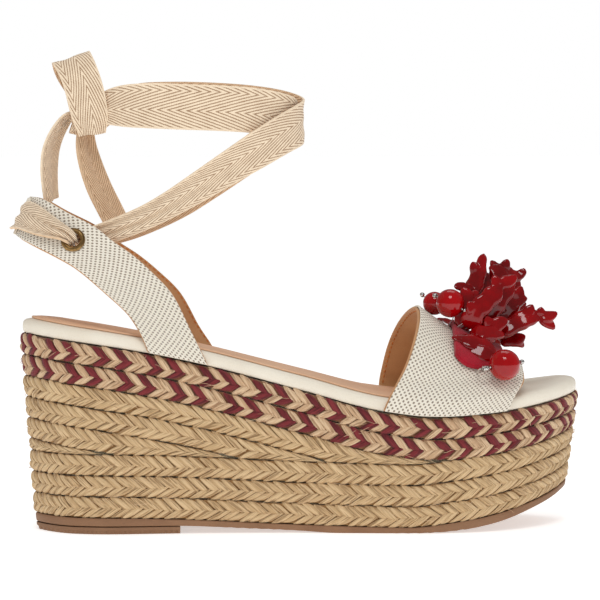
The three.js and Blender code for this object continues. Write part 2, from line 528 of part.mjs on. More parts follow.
function ornament() {
  const grid = (more) => even(6).map((i) => even(2).map((j) =>
    bandAt(mix(0.27 - more, 0.66 + more, i), mix(0.42 - more, 0.86 + more, j))));
  add("ornament_pad", shell(grid(0), STRAP.far + 0.9, STRAP.far + 3), FINISH.felt);
  let taken = toManifold(shell(grid(0.01), STRAP.far + 0.5, STRAP.far + 3.4));
  for (const { at, radius, pin } of BEADS) {
    const centre = v3(...at);
    const axis = v3(...pin);
    const arc = Array.from({ length: 8 }, (_, k) => {
      const a = mix(Math.asin(BORE / radius), Math.PI - Math.asin(BORE / radius), k / 7);
      return [radius * Math.sin(a), -radius * Math.cos(a)];
    });
    const name = BEADS.findIndex((b) => b.at === at) + 1;
    add(`bead_${name}`, turned(arc, centre, axis, 12), FINISH.bead);
    const end = radius + 0.5;
    const rod = [[0.01, -end - 1.6], [0.9, -end - 0.8], [WIRE, -end], [WIRE, end], [1.1, end + 1],
      [0.01, end + 2.1]];
    add(`headpin_${name}`, turned(rod, centre, axis, 8), FINISH.silver);
    const space = turned([[0.01, -end - 2], [1.4, -end - 1.6], [radius + 0.4, -radius * 0.4],
      [radius + 0.4, radius * 0.4], [1.4, end + 2.2], [0.01, end + 2.5]], centre, axis, 12);
    taken = taken.add(toManifold(space));
  }
  CORALS.forEach((shape, i) => {
    const solid = largest(coral(shape).subtract(taken)).simplify(0.05);
    taken = taken.add(coral(shape, GAP));
    add(`coral_${i + 1}`, fromManifold(solid), FINISH.coral);
  });
}

soleUnit();
braids();
footbed();
straps();
ankleTie();
ornament();

// The frame's origin is the middle of the bottom of the box round the whole sandal.
const box = new THREE.Box3().setFromObject(sandal);
const middle = box.getCenter(new THREE.Vector3());
sandal.position.set(-middle.x, -middle.y, -box.min.z);

export default sandal;
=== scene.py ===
"""Right wedge sandal in Blender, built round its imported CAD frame.

Every length in the classes below is in millimetres in the maker's own frame (+X to the toe,
-Y to the outer side of the foot, +Z up, ground at zero); Bench moves it to metres in the row frame.
"""

from __future__ import annotations

import logging
import math
from dataclasses import dataclass
from enum import Enum
from typing import Callable, Sequence

import bpy
import numpy as np
from mathutils import Matrix, Vector


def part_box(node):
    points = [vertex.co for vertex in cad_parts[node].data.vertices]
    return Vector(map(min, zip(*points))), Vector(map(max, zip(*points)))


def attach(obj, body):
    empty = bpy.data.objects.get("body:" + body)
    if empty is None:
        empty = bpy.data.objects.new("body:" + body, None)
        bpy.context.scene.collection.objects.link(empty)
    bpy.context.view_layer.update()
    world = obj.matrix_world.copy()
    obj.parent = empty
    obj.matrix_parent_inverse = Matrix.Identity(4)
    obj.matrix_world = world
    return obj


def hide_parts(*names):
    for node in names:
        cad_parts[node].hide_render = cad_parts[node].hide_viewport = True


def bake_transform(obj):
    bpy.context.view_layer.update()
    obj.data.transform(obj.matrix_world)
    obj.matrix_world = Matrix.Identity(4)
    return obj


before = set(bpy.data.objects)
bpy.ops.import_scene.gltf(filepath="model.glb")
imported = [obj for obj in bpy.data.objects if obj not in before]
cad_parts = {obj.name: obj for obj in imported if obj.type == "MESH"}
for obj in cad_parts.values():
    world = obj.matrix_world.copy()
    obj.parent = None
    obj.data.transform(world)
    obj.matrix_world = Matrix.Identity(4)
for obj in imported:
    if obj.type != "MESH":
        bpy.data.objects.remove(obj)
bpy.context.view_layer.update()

log = logging.getLogger("sandal")
Rows = Sequence[Sequence[float]]
Height = Callable[[np.ndarray], np.ndarray]
MM = 0.001
SEED = 20
KNOT_CENTRE = np.array([-92.5, 0.0, 178.5])  # the knot's middle in the maker's frame
ORIGIN = np.mean(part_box("tape_knot"), axis=0) / MM - KNOT_CENTRE


def row_frame(points: np.ndarray) -> np.ndarray:
    """Turn the maker's millimetres into metres in the row frame."""
    return (np.asarray(points, float) + ORIGIN) * MM


# ---------------------------------------------------------------- forms


def monotone(points: Rows) -> Height:
    """Make a smooth curve through [x, z] points that never overshoots them.

    Args:
        points: the points, in order of x.

    Returns:
        A function from x to z.
    """
    xs, zs = np.array(points, float).T
    slope = np.diff(zs) / np.diff(xs)
    before, after = np.r_[slope[0], slope], np.r_[slope, slope[-1]]
    product = before * after
    tangent = np.where(product > 0, 2 * product / np.where(before + after == 0, 1, before + after), 0)

    def height(x: np.ndarray) -> np.ndarray:
        """Give z at x."""
        x = np.asarray(x, float)
        i = np.clip(np.searchsorted(xs, x, side="right") - 1, 0, len(xs) - 2)
        w = xs[i + 1] - xs[i]
        t = np.clip((x - xs[i]) / w, 0, 1)
        return (zs[i] * (1 + 2 * t) * (1 - t) ** 2 + zs[i + 1] * t * t * (3 - 2 * t)
                + w * (tangent[i] * t * (1 - t) ** 2 - tangent[i + 1] * t * t * (1 - t)))

    return height


class Line3:
    """A centripetal Catmull-Rom curve, read by its share of length."""

    def __init__(self, points: Rows, closed: bool = False, fine: int = 40) -> None:
        """Sample the curve finely.

        Args:
            points: what it passes through.
            closed: whether it returns to its start.
            fine: samples for each span.
        """
        p = np.array(points, float)
        n = len(p)
        if closed:
            ext = np.vstack([p[-1], p, p[0], p[1]])
        else:
            ext = np.vstack([2 * p[0] - p[1], p, 2 * p[-1] - p[-2]])
        spans = n if closed else n - 1
        t = (np.arange(fine) / fine)[:, None]
        samples = []
        for i in range(spans):
            q = ext[i : i + 4]
            d = np.maximum(np.linalg.norm(np.diff(q, axis=0), axis=1) ** 0.5, 1e-3)
            m1 = ((q[1] - q[0]) / d[0] - (q[2] - q[0]) / (d[0] + d[1]) + (q[2] - q[1]) / d[1]) * d[1]
            m2 = ((q[2] - q[1]) / d[1] - (q[3] - q[1]) / (d[1] + d[2]) + (q[3] - q[2]) / d[2]) * d[1]
            samples.append(q[1] * (1 + 2 * t) * (1 - t) ** 2 + q[2] * t * t * (3 - 2 * t)
                           + m1 * t * (1 - t) ** 2 - m2 * t * t * (1 - t))
        self.points = np.vstack([*samples, p[:1] if closed else p[-1:]])
        steps = np.linalg.norm(np.diff(self.points, axis=0), axis=1)
        self.reach = np.r_[0, np.cumsum(steps)]
        self.length = float(self.reach[-1])
        self.closed = closed

    def at(self, share: np.ndarray) -> np.ndarray:
        """Give the points at shares of the length from 0 to 1.

        Args:
            share: shares of the length.

        Returns:
            Their points.
        """
        s = np.asarray(share, float)
        s = (s % 1.0 if self.closed else np.clip(s, 0, 1)) * self.length
        return np.stack([np.interp(s, self.reach, self.points[:, k]) for k in range(3)], axis=-1)

    def heading(self, share: np.ndarray) -> np.ndarray:
        """Give the unit directions at shares of the length.

        Args:
            share: shares of the length.

        Returns:
            Their unit directions.
        """
        step = 0.002
        d = self.at(np.asarray(share) + step) - self.at(np.asarray(share) - step)
        return d / np.maximum(np.linalg.norm(d, axis=-1, keepdims=True), 1e-9)


def unit(v: np.ndarray) -> np.ndarray:
    """Scale vectors to length one."""
    v = np.asarray(v, float)
    return v / np.maximum(np.linalg.norm(v, axis=-1, keepdims=True), 1e-9)


def spread(count: int) -> np.ndarray:
    """Give shares from 0 to 1 that crowd towards both ends."""
    return (1 - np.cos(np.pi * np.linspace(0, 1, count))) / 2


@dataclass(frozen=True)
class SoleForm:
    """The wedge's shape: its plan, its heights along the foot and its leaning wall."""

    rim: float = 6.3
    rim_inset: float = 1.7
    full_course: float = 9.1
    top: Height = monotone([[-122.5, 85.5], [-80, 79.6], [-44, 72.2], [-4, 61.5], [32, 52.2],
                            [54, 49.9], [83, 51.6], [126, 57.5]])
    base: Height = monotone([[-122.5, 7.4], [-83, 7.1], [-55, 6.3], [-4, 3.7], [42, 2.6],
                             [63, 4.6], [82, 7.5], [105, 13], [126, 18.6]])
    tread: Height = monotone([[-122.5, 3.6], [-57, 3.4], [-25, 1.9], [-4, 0.9], [12, 0], [46, 0],
                              [63, 0.9], [82, 3.7], [105, 9.9], [126, 15.9]])
    plan: Line3 = Line3([[x, y, 0] for x, y in [
        [-122.5, 0], [-110, -22], [-92, -30], [-50, -31], [-10, -33], [20, -38], [50, -42.5],
        [75, -41], [95, -33], [112, -19.6], [122, -4.6], [126, 10], [122.2, 23.5], [109.8, 33.6], [85, 41],
        [60, 42], [30, 38], [0, 30], [-30, 25.5], [-60, 26.5], [-92, 29.5], [-110, 22]]], True)

    def course(self, x: np.ndarray) -> np.ndarray:
        """Give the height of one braided course at x."""
        return np.minimum(self.full_course, (self.top(x) - self.base(x)) / 5)

    def wall(self, t: np.ndarray, inset: np.ndarray, z: np.ndarray) -> np.ndarray:
        """Give places on the leaning wall.

        Args:
            t: shares of the way round, from the heel along the outer side.
            inset: distances in from the braid's face.
            z: heights.

        Returns:
            The points.
        """
        at, way = self.plan.at(t), self.plan.heading(t)
        x = at[..., 0]
        lean = (3 + 3 * np.clip((-x - 85) / 35, 0, 1) ** 2 + 2 * np.clip((x - 85) / 35, 0, 1) ** 2)
        down = 1 - np.clip((z - self.base(x)) / (self.top(x) - self.base(x)), 0, 1)
        by = inset + lean * down
        return np.stack([x - way[..., 1] * by, at[..., 1] + way[..., 0] * by,
                         np.broadcast_to(z, x.shape)], axis=-1)

    def ahead(self, t: np.ndarray) -> np.ndarray:
        """Give the plan's x at shares of the way round."""
        return self.plan.at(t)[..., 0]

    def toe_share(self) -> float:
        """Give the share of the way round at which the toe's tip stands."""
        t = np.linspace(0.3, 0.7, 2001)
        return float(t[np.argmax(self.ahead(t))])

    def hug(self, p: np.ndarray) -> np.ndarray:
        """Move a strap's points onto the footbed's edge low down, where it is pasted there.

        Args:
            p: the strap's points.

        Returns:
            The points, moved where they are low.
        """
        p = p.copy()
        low = np.clip((self.top(p[..., 0]) + self.rim + 8 - p[..., 2]) / 7, 0, 1)
        toe = self.toe_share()
        for sign, ts in ((-1, np.linspace(0, toe, 400)), (1, np.linspace(1, toe, 400))):
            edge = self.plan.at(ts)
            y = np.interp(p[..., 0], edge[:, 0], edge[:, 1]) * 1.003
            side = np.sign(p[..., 1]) == sign
            p[..., 1] = np.where(side, p[..., 1] + (y - p[..., 1]) * low, p[..., 1])
        return p


SOLE = SoleForm()


@dataclass(frozen=True)
class BandForm:
    """The forefoot band's middle surface."""

    back: Line3 = Line3([[31.4, -39.9, 52.6], [34.6, -40.4, 60], [41, -38.3, 71.3], [46.3, -31, 82.9],
                         [50.3, -17, 91.6], [51.5, -2, 95.4], [49.9, 12, 93], [47, 24, 86.2],
                         [44.4, 32.7, 77.1], [42.3, 38.4, 66], [41.1, 40, 58.5], [41, 40, 51]])
    front: Line3 = Line3([[84.9, -38.2, 52.1], [88.2, -36.6, 58.5], [91.8, -33.5, 63],
                          [93.9, -28, 66.5], [94.9, -20, 69.6], [95.4, -8, 71.6], [95.3, 5, 71.8],
                          [94.6, 17, 70.5], [93.2, 28, 67.2], [91.2, 35.6, 62.6],
                          [88.2, 39.9, 58.2], [85, 40.9, 52.1]])

    def at(self, u: np.ndarray, v: np.ndarray) -> np.ndarray:
        """Give points: u over the foot from the outer side, v from the back edge to the front.

        Args:
            u: shares of the way over the foot.
            v: shares of the way from back to front.

        Returns:
            The points.
        """
        u, v = np.broadcast_arrays(np.asarray(u, float), np.asarray(v, float))
        a, b = self.back.at(u), self.front.at(u)
        dip = 4 * v * (1 - v) * (1.6 + np.sin(np.pi * u) ** 4)
        p = a + (b - a) * v[..., None]
        p[..., 2] -= dip
        return SOLE.hug(p)


class Side(Enum):
    """The two sides of the foot."""

    LATERAL = -1
    MEDIAL = 1

    @property
    def word(self) -> str:
        """Name the side in lower case."""
        return self.name.lower()


@dataclass(frozen=True)
class SlingForm:
    """The heel sling's middle surface on both sides."""

    low: Rows = ((-68.7, -30.9, 77.8), (-71.8, -30.9, 85.5), (-76.9, -30.4, 94), (-86.4, -29.5, 103.2),
                 (-99.3, -28, 114.2), (-107.3, -26, 119), (-115.2, -21, 123), (-121.8, -11, 126.4),
                 (-123.4, -0.2, 127.8))
    high: Rows = ((-43.7, -31, 72.7), (-47.3, -31.1, 80.5), (-50.6, -30.6, 87), (-58.6, -29.2, 103),
                  (-66.7, -28.3, 112), (-74.7, -27.4, 119.3), (-82.8, -26.3, 125.1),
                  (-90.9, -24.8, 131.6), (-102.9, -20.6, 138), (-111.1, -13.5, 142.8),
                  (-116.8, -0.2, 144.2))
    eyelet: float = 0.66

    def edge(self, side: Side, points: Rows) -> Line3:
        """Give one edge of the sling on a side.

        Args:
            side: the side of the foot.
            points: the outer side's edge.

        Returns:
            The side's edge.
        """
        if side is Side.LATERAL:
            return Line3(points)
        moved = []
        for i, (x, y, z) in enumerate(points):
            back = i / (len(points) - 1)
            moved.append([x + 11.5 * (1 - back), -y * (0.84 + 0.16 * back), z - 2.7 * (1 - back)])
        return Line3(moved)

    def at(self, side: Side, f: np.ndarray, w: np.ndarray) -> np.ndarray:
        """Give points: f from the sole to the heel's middle, w from the lower edge to the upper."""
        f, w = np.broadcast_arrays(np.asarray(f, float), np.asarray(w, float))
        a, b = self.edge(side, self.low).at(f), self.edge(side, self.high).at(f)
        return SOLE.hug(a + (b - a) * w[..., None])

    def axes(self, side: Side, f: float) -> tuple[np.ndarray, np.ndarray, np.ndarray, np.ndarray]:
        """Give the strap's middle at f, the way to the heel, the way up across it and outward."""
        at = self.at(side, f, 0.5)
        along = unit(self.at(side, f + 0.06, 0.5) - self.at(side, f - 0.06, 0.5))
        up = unit(self.at(side, f, 1.0) - self.at(side, f, 0.0))
        out = unit(np.cross(up, along))
        return at, along, up, out * np.sign(out[1] * at[1])


BAND = BandForm()
SLING = SlingForm()


def outward(points: np.ndarray, away: np.ndarray) -> np.ndarray:
    """Give a grid's unit normals, pointing away from a point on average.

    Args:
        points: the grid, rows by columns by 3.
        away: a point on the inner side.

    Returns:
        The normals, shaped as the grid.
    """
    normal = unit(np.cross(np.gradient(points, axis=0), np.gradient(points, axis=1)))
    return normal * np.sign(np.sum(normal * (points - away)))


# ---------------------------------------------------------------- bench


class Bench:
    """The modelling bench: primitives come up here and are shaped by operators."""

    @staticmethod
    def clear() -> None:
        """Leave nothing selected."""
        if bpy.context.object and bpy.context.object.mode != "OBJECT":
            bpy.ops.object.mode_set(mode="OBJECT")
        bpy.ops.object.select_all(action="DESELECT")

    @staticmethod
    def pick(obj: bpy.types.Object, *others: bpy.types.Object) -> None:
        """Select an object, make it active, and select others with it.

        Args:
            obj: the object to make active.
            others: what to select with it.
        """
        Bench.clear()
        for o in (*others, obj):
            o.select_set(True)
        bpy.context.view_layer.objects.active = obj

    @staticmethod
    def edit(obj: bpy.types.Object, *steps: Callable[[], object]) -> None:
        """Run operators on the whole of a mesh in edit mode.

        Args:
            obj: the mesh object.
            steps: the operators to run, in order.
        """
        Bench.pick(obj)
        bpy.ops.object.mode_set(mode="EDIT")
        bpy.ops.mesh.select_all(action="SELECT")
        for step in steps:
            step()
        bpy.ops.object.mode_set(mode="OBJECT")

    @staticmethod
    def read(obj: bpy.types.Object) -> np.ndarray:
        """Read a mesh's points."""
        co = np.empty(len(obj.data.vertices) * 3)
        obj.data.vertices.foreach_get("co", co)
        return co.reshape(-1, 3)

    @staticmethod
    def write(obj: bpy.types.Object, points: np.ndarray) -> None:
        """Move a mesh's points."""
        obj.data.vertices.foreach_set("co", np.ascontiguousarray(points, float).ravel())
        obj.data.update()

    @staticmethod
    def grid(points: np.ndarray, uv: np.ndarray | None = None) -> bpy.types.Object:
        """Lay a grid primitive over a grid of points in millimetres, with a UV map in metres.

        Args:
            points: rows by columns by 3.
            uv: rows by columns by 2, or None to measure it along the surface.

        Returns:
            The new object.
        """
        rows, cols = points.shape[:2]
        if uv is None:
            uv = Bench.measured_uv(points)
        Bench.clear()
        bpy.ops.mesh.primitive_grid_add(x_subdivisions=rows - 1, y_subdivisions=cols - 1, size=1)
        obj = bpy.context.object
        flat = Bench.read(obj)
        i = np.rint((flat[:, 0] + 0.5) * (rows - 1)).astype(int)
        j = np.rint((flat[:, 1] + 0.5) * (cols - 1)).astype(int)
        Bench.write(obj, row_frame(points[i, j]))
        loops = np.empty(len(obj.data.loops), np.int32)
        obj.data.loops.foreach_get("vertex_index", loops)
        obj.data.uv_layers.active.data.foreach_set("uv", uv[i, j][loops].ravel())
        return obj

    @staticmethod
    def measured_uv(points: np.ndarray) -> np.ndarray:
        """Measure a grid along its rows and across them, in metres, centred across.

        Args:
            points: the grid of points.

        Returns:
            The map, in metres.
        """
        along = np.linalg.norm(np.diff(points, axis=0), axis=2).mean(axis=1)
        u = np.r_[0, np.cumsum(along)][:, None] * np.ones(points.shape[1])
        across = np.linalg.norm(np.diff(points, axis=1), axis=2)
        v = np.concatenate([np.zeros((len(points), 1)), np.cumsum(across, axis=1)], axis=1)
        return np.stack([u, v - v[:, -1:] / 2], axis=-1) * MM

    @staticmethod
    def modify(obj: bpy.types.Object, kind: str, **settings: object) -> None:
        """Add a modifier and apply it.

        Args:
            obj: the object.
            kind: the modifier's type.
            settings: its settings.
        """
        Bench.pick(obj)
        modifier = obj.modifiers.new(kind.title(), kind)
        for key, value in settings.items():
            setattr(modifier, key, value)
        bpy.ops.object.modifier_apply(modifier=modifier.name)

    @staticmethod
    def weld(obj: bpy.types.Object, distance: float = 1e-6) -> None:
        """Merge doubles and turn the faces outward."""
        Bench.edit(obj, lambda: bpy.ops.mesh.remove_doubles(threshold=distance),
                   lambda: bpy.ops.mesh.normals_make_consistent(inside=False))

    @staticmethod
    def flip_to(obj: bpy.types.Object, way: np.ndarray) -> None:
        """Turn an open sheet so that its faces point the way given on average.

        Args:
            obj: the sheet.
            way: the direction.
        """
        normals = np.empty(len(obj.data.polygons) * 3)
        obj.data.polygons.foreach_get("normal", normals)
        if normals.reshape(-1, 3).mean(axis=0) @ np.asarray(way, float) < 0:
            Bench.edit(obj, lambda: bpy.ops.mesh.flip_normals())

    @staticmethod
    def flip_outward(obj: bpy.types.Object) -> None:
        """Turn an open ring's faces away from the shoe's middle line."""
        centres = np.array([p.center for p in obj.data.polygons])
        normals = np.array([p.normal for p in obj.data.polygons])
        if np.sum((centres - centres.mean(axis=0)) * normals) < 0:
            Bench.edit(obj, lambda: bpy.ops.mesh.flip_normals())

    @staticmethod
    def turn(profile: Rows, at: np.ndarray, axis: np.ndarray, facets: int = 40) -> bpy.types.Object:
        """Turn a closed profile round an axis.

        Args:
            profile: [radius, height] points; radius 0 makes a pole.
            at: the axis's middle in millimetres.
            axis: its unit direction.
            facets: how many stations there are round it.

        Returns:
            The turned solid.
        """
        angle = np.linspace(0, 2 * math.pi, facets + 1)[:, None, None]
        shape = np.array([*profile, profile[0]], float)
        radius, height = shape[None, :, :1], shape[None, :, 1:]
        first = unit(np.cross(axis, [0.31, 0.22, 0.93]))
        second = np.cross(axis, first)
        obj = Bench.grid(at + axis * height + radius * (first * np.cos(angle) + second * np.sin(angle)))
        Bench.weld(obj)
        Bench.modify(obj, "SUBSURF", levels=1, render_levels=1)
        Bench.smooth(obj)
        return obj

    @staticmethod
    def tube(path: Rows, radius: float | np.ndarray, sides: int = 10, step: float = 0.6) -> bpy.types.Object:
        """Draw a round wire along a path, closed at both ends.

        Args:
            path: the points it passes through.
            radius: its radius, or one for each path point.
            sides: stations round it.
            step: the spacing of its rings.

        Returns:
            The wire.
        """
        line = Line3(path)
        s = np.linspace(0, 1, max(6, int(line.length / step)))
        at, way = line.at(s), line.heading(s)
        first = unit(np.cross(way, [0.31, 0.52, 0.79]))
        second = np.cross(way, first)
        shares = np.linspace(0, 1, np.size(radius)) if np.size(radius) > 1 else np.array([0.0])
        size = np.interp(s, shares, np.atleast_1d(radius))
        size[0] = size[-1] = 0
        angle = np.linspace(0, 2 * math.pi, sides + 1)[None, :, None]
        ring = first[:, None] * np.cos(angle) + second[:, None] * np.sin(angle)
        obj = Bench.grid(at[:, None] + size[:, None, None] * ring)
        Bench.weld(obj)
        Bench.smooth(obj, 60)
        return obj

    @staticmethod
    def join(objects: Sequence[bpy.types.Object]) -> bpy.types.Object:
        """Join objects into the first."""
        Bench.pick(objects[0], *objects[1:])
        if len(objects) > 1:
            bpy.ops.object.join()
        return objects[0]

    @staticmethod
    def copy(obj: bpy.types.Object) -> bpy.types.Object:
        """Copy an object with a mesh of its own."""
        twin = obj.copy()
        twin.data = obj.data.copy()
        bpy.context.collection.objects.link(twin)
        return twin

    @staticmethod
    def scatter(template: bpy.types.Object, places: Sequence[Matrix]) -> bpy.types.Object:
        """Copy a modelled shape to many places as one mesh, and remove the pattern.

        Args:
            template: the shape, at the origin in metres.
            places: where each copy goes.

        Returns:
            The joined copies.
        """
        twins = []
        for place in places:
            twin = Bench.copy(template)
            twin.data.transform(place)
            twins.append(twin)
        Bench.pick(template)
        bpy.ops.object.delete()
        return Bench.join(twins)

    @staticmethod
    def smooth(obj: bpy.types.Object, angle: float | None = None) -> None:
        """Shade a mesh smooth, all over or below an angle in degrees.

        Args:
            obj: the mesh object.
            angle: the sharpest angle to smooth, or None for all.
        """
        Bench.pick(obj)
        if angle is None:
            bpy.ops.object.shade_smooth()
        else:
            bpy.ops.object.shade_smooth_by_angle(angle=math.radians(angle))

    @staticmethod
    def finish(obj: bpy.types.Object, name: str, materials: Sequence[bpy.types.Material] | bpy.types.Material,
               slot: str, body: str | None = "shoe", replaces: Sequence[str] = ()) -> bpy.types.Object:
        """Name, dress and attach a finished piece.

        Args:
            obj: the piece.
            name: its name.
            materials: its materials, in the order of its faces' indices.
            slot: the record's material slot, not used.
            body: the CAD body that it rides on, or None to leave it unattached.
            replaces: CAD nodes that it stands for.

        Returns:
            The piece.
        """
        Bench.pick(obj)
        bpy.ops.object.transform_apply(location=True, rotation=True, scale=True)
        obj.name = obj.data.name = name
        indices = np.empty(len(obj.data.polygons), np.int32)
        obj.data.polygons.foreach_get("material_index", indices)
        obj.data.materials.clear()
        for m in materials if isinstance(materials, (list, tuple)) else [materials]:
            obj.data.materials.append(m)
        obj.data.polygons.foreach_set("material_index", indices)
        if body:
            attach(obj, body)
        if replaces:
            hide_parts(*replaces)
        log.info("%s: %d faces on %s", name, len(obj.data.polygons), body or "two bodies")
        return obj


# ---------------------------------------------------------------- finishes


def tint(r: int, g: int, b: int) -> tuple[float, float, float, float]:
    """Turn a screen colour out of 255 into a linear one."""
    channels = [c / 255 for c in (r, g, b)]
    return (*[c / 12.92 if c <= 0.04045 else ((c + 0.055) / 1.055) ** 2.4 for c in channels], 1.0)


Socket = bpy.types.NodeSocket
Value = float | Socket


class Recipe:
    """A material being mixed: one Principled surface and the nodes that feed it."""

    def __init__(self, name: str, **sockets: object) -> None:
        """Start a material.

        Args:
            name: the material's name.
            sockets: constants for the surface, spaces written as underscores.
        """
        self.material = bpy.data.materials.new(f"{name}_finish")
        self.material.use_nodes = True
        self.tree = self.material.node_tree
        self.surface = self.tree.nodes["Principled BSDF"]
        for key, value in sockets.items():
            self.surface.inputs[key.replace("_", " ")].default_value = value

    def feed(self, socket: Socket, value: Value | Sequence[float]) -> None:
        """Link a socket into an input, or set the input's number."""
        if isinstance(value, bpy.types.NodeSocket):
            self.tree.links.new(value, socket)
        else:
            socket.default_value = value

    def place(self, uv: bool) -> Socket:
        """Give the coordinates: the piece's own map in metres, or its object space."""
        node = self.tree.nodes.new("ShaderNodeTexCoord")
        return node.outputs["UV" if uv else "Object"]

    def split(self, vector: Socket) -> tuple[Socket, Socket, Socket]:
        """Split a vector into its three parts."""
        node = self.tree.nodes.new("ShaderNodeSeparateXYZ")
        self.feed(node.inputs[0], vector)
        return node.outputs[0], node.outputs[1], node.outputs[2]

    def bring(self, x: Value, y: Value, z: Value = 0.0) -> Socket:
        """Join three parts into a vector."""
        node = self.tree.nodes.new("ShaderNodeCombineXYZ")
        for socket, value in zip(node.inputs, (x, y, z)):
            self.feed(socket, value)
        return node.outputs[0]

    def math(self, operation: str, *values: Value) -> Socket:
        """Work out one sum on sockets and numbers.

        Args:
            operation: the sum's name.
            values: what goes in.

        Returns:
            The answer.
        """
        node = self.tree.nodes.new("ShaderNodeMath")
        node.operation = operation
        for socket, value in zip(node.inputs, values):
            self.feed(socket, value)
        return node.outputs[0]

    def noise(self, vector: Socket, scale: float, detail: float = 2.0, rough: float = 0.5) -> Socket:
        """Give soft noise about 0.5.

        Args:
            vector: the coordinates.
            scale: how fine it is.
            detail: its octaves.
            rough: how strong the fine ones are.

        Returns:
            The noise.
        """
        node = self.tree.nodes.new("ShaderNodeTexNoise")
        self.feed(node.inputs["Vector"], vector)
        for key, value in (("Scale", scale), ("Detail", detail), ("Roughness", rough)):
            node.inputs[key].default_value = value
        return node.outputs[0]

    def cells(self, vector: Socket, scale: float, feature: str = "F1") -> Socket:
        """Give the distance field of scattered cells."""
        node = self.tree.nodes.new("ShaderNodeTexVoronoi")
        node.feature = feature
        self.feed(node.inputs["Vector"], vector)
        node.inputs["Scale"].default_value = scale
        return node.outputs["Distance"]

    def island(self) -> Socket:
        """Give one random number for each loose part of the mesh."""
        return self.tree.nodes.new("ShaderNodeNewGeometry").outputs["Random Per Island"]

    def edge(self) -> Socket:
        """Give how sharply the surface bends out (above a half) or in (below it)."""
        return self.tree.nodes.new("ShaderNodeNewGeometry").outputs["Pointiness"]

    def span(self, value: Value, low: float, high: float, to_low: float = 0.0,
             to_high: float = 1.0) -> Socket:
        """Map a range smoothly to another and hold it there.

        Args:
            value: the value.
            low: where it starts.
            high: where it ends.
            to_low: what the start becomes.
            to_high: what the end becomes.

        Returns:
            The mapped value.
        """
        node = self.tree.nodes.new("ShaderNodeMapRange")
        node.interpolation_type = "SMOOTHSTEP"
        self.feed(node.inputs[0], value)
        for socket, number in zip(list(node.inputs)[1:5], (low, high, to_low, to_high)):
            socket.default_value = number
        return node.outputs[0]

    def blend(self, share: Value, a: Value | Sequence[float], b: Value | Sequence[float]) -> Socket:
        """Mix two colours by a share.

        Args:
            share: how much of the second.
            a: the first colour.
            b: the second colour.

        Returns:
            The mix.
        """
        node = self.tree.nodes.new("ShaderNodeMix")
        node.data_type = "RGBA"
        for socket, value in ((node.inputs[0], share), (node.inputs[6], a), (node.inputs[7], b)):
            self.feed(socket, value)
        return node.outputs[2]

    def relief(self, height: Socket, depth: float, strength: float = 1.0) -> None:
        """Raise the surface by a height map, on top of any relief before it.

        Args:
            height: the height map.
            depth: its depth in metres.
            strength: how much of it shows.
        """
        node = self.tree.nodes.new("ShaderNodeBump")
        node.inputs["Strength"].default_value = strength
        node.inputs["Distance"].default_value = depth
        before = self.surface.inputs["Normal"].links
        if before:
            self.feed(node.inputs["Normal"], before[0].from_socket)
        self.feed(node.inputs["Height"], height)
        self.feed(self.surface.inputs["Normal"], node.outputs[0])

    def dress(self, colour: Socket | None = None, rough: Socket | None = None) -> bpy.types.Material:
        """Link the colour and the roughness and hand over the material.

        Args:
            colour: the base colour.
            rough: the roughness.

        Returns:
            The material.
        """
        if colour is not None:
            self.feed(self.surface.inputs["Base Color"], colour)
        if rough is not None:
            self.feed(self.surface.inputs["Roughness"], rough)
        return self.material


Tint = tuple[float, float, float, float]


@dataclass(frozen=True)
class Leather:
    """Fine-grained leather with soft pores and slight unevenness."""

    name: str
    light: Tint
    dark: Tint
    grain: float = 1500.0
    rough: float = 0.5
    depth: float = 0.00012

    def make(self) -> bpy.types.Material:
        """Mix the leather."""
        r = Recipe(self.name, Specular_IOR_Level=0.4)
        at = r.place(uv=False)
        cloud = r.noise(at, 45, 3)
        pores = r.cells(at, self.grain)
        fine = r.noise(at, 5200, 2)
        shade = r.math("ADD", r.span(cloud, 0.3, 0.7, 0, 0.55), r.span(pores, 0.1, 0.5, 0.35, 0))
        r.relief(r.math("ADD", r.span(pores, 0.05, 0.45), r.math("MULTIPLY", fine, 0.3)), self.depth, 0.35)
        rough = r.span(fine, 0.3, 0.7, self.rough - 0.06, self.rough + 0.08)
        return r.dress(r.blend(shade, self.light, self.dark), rough)


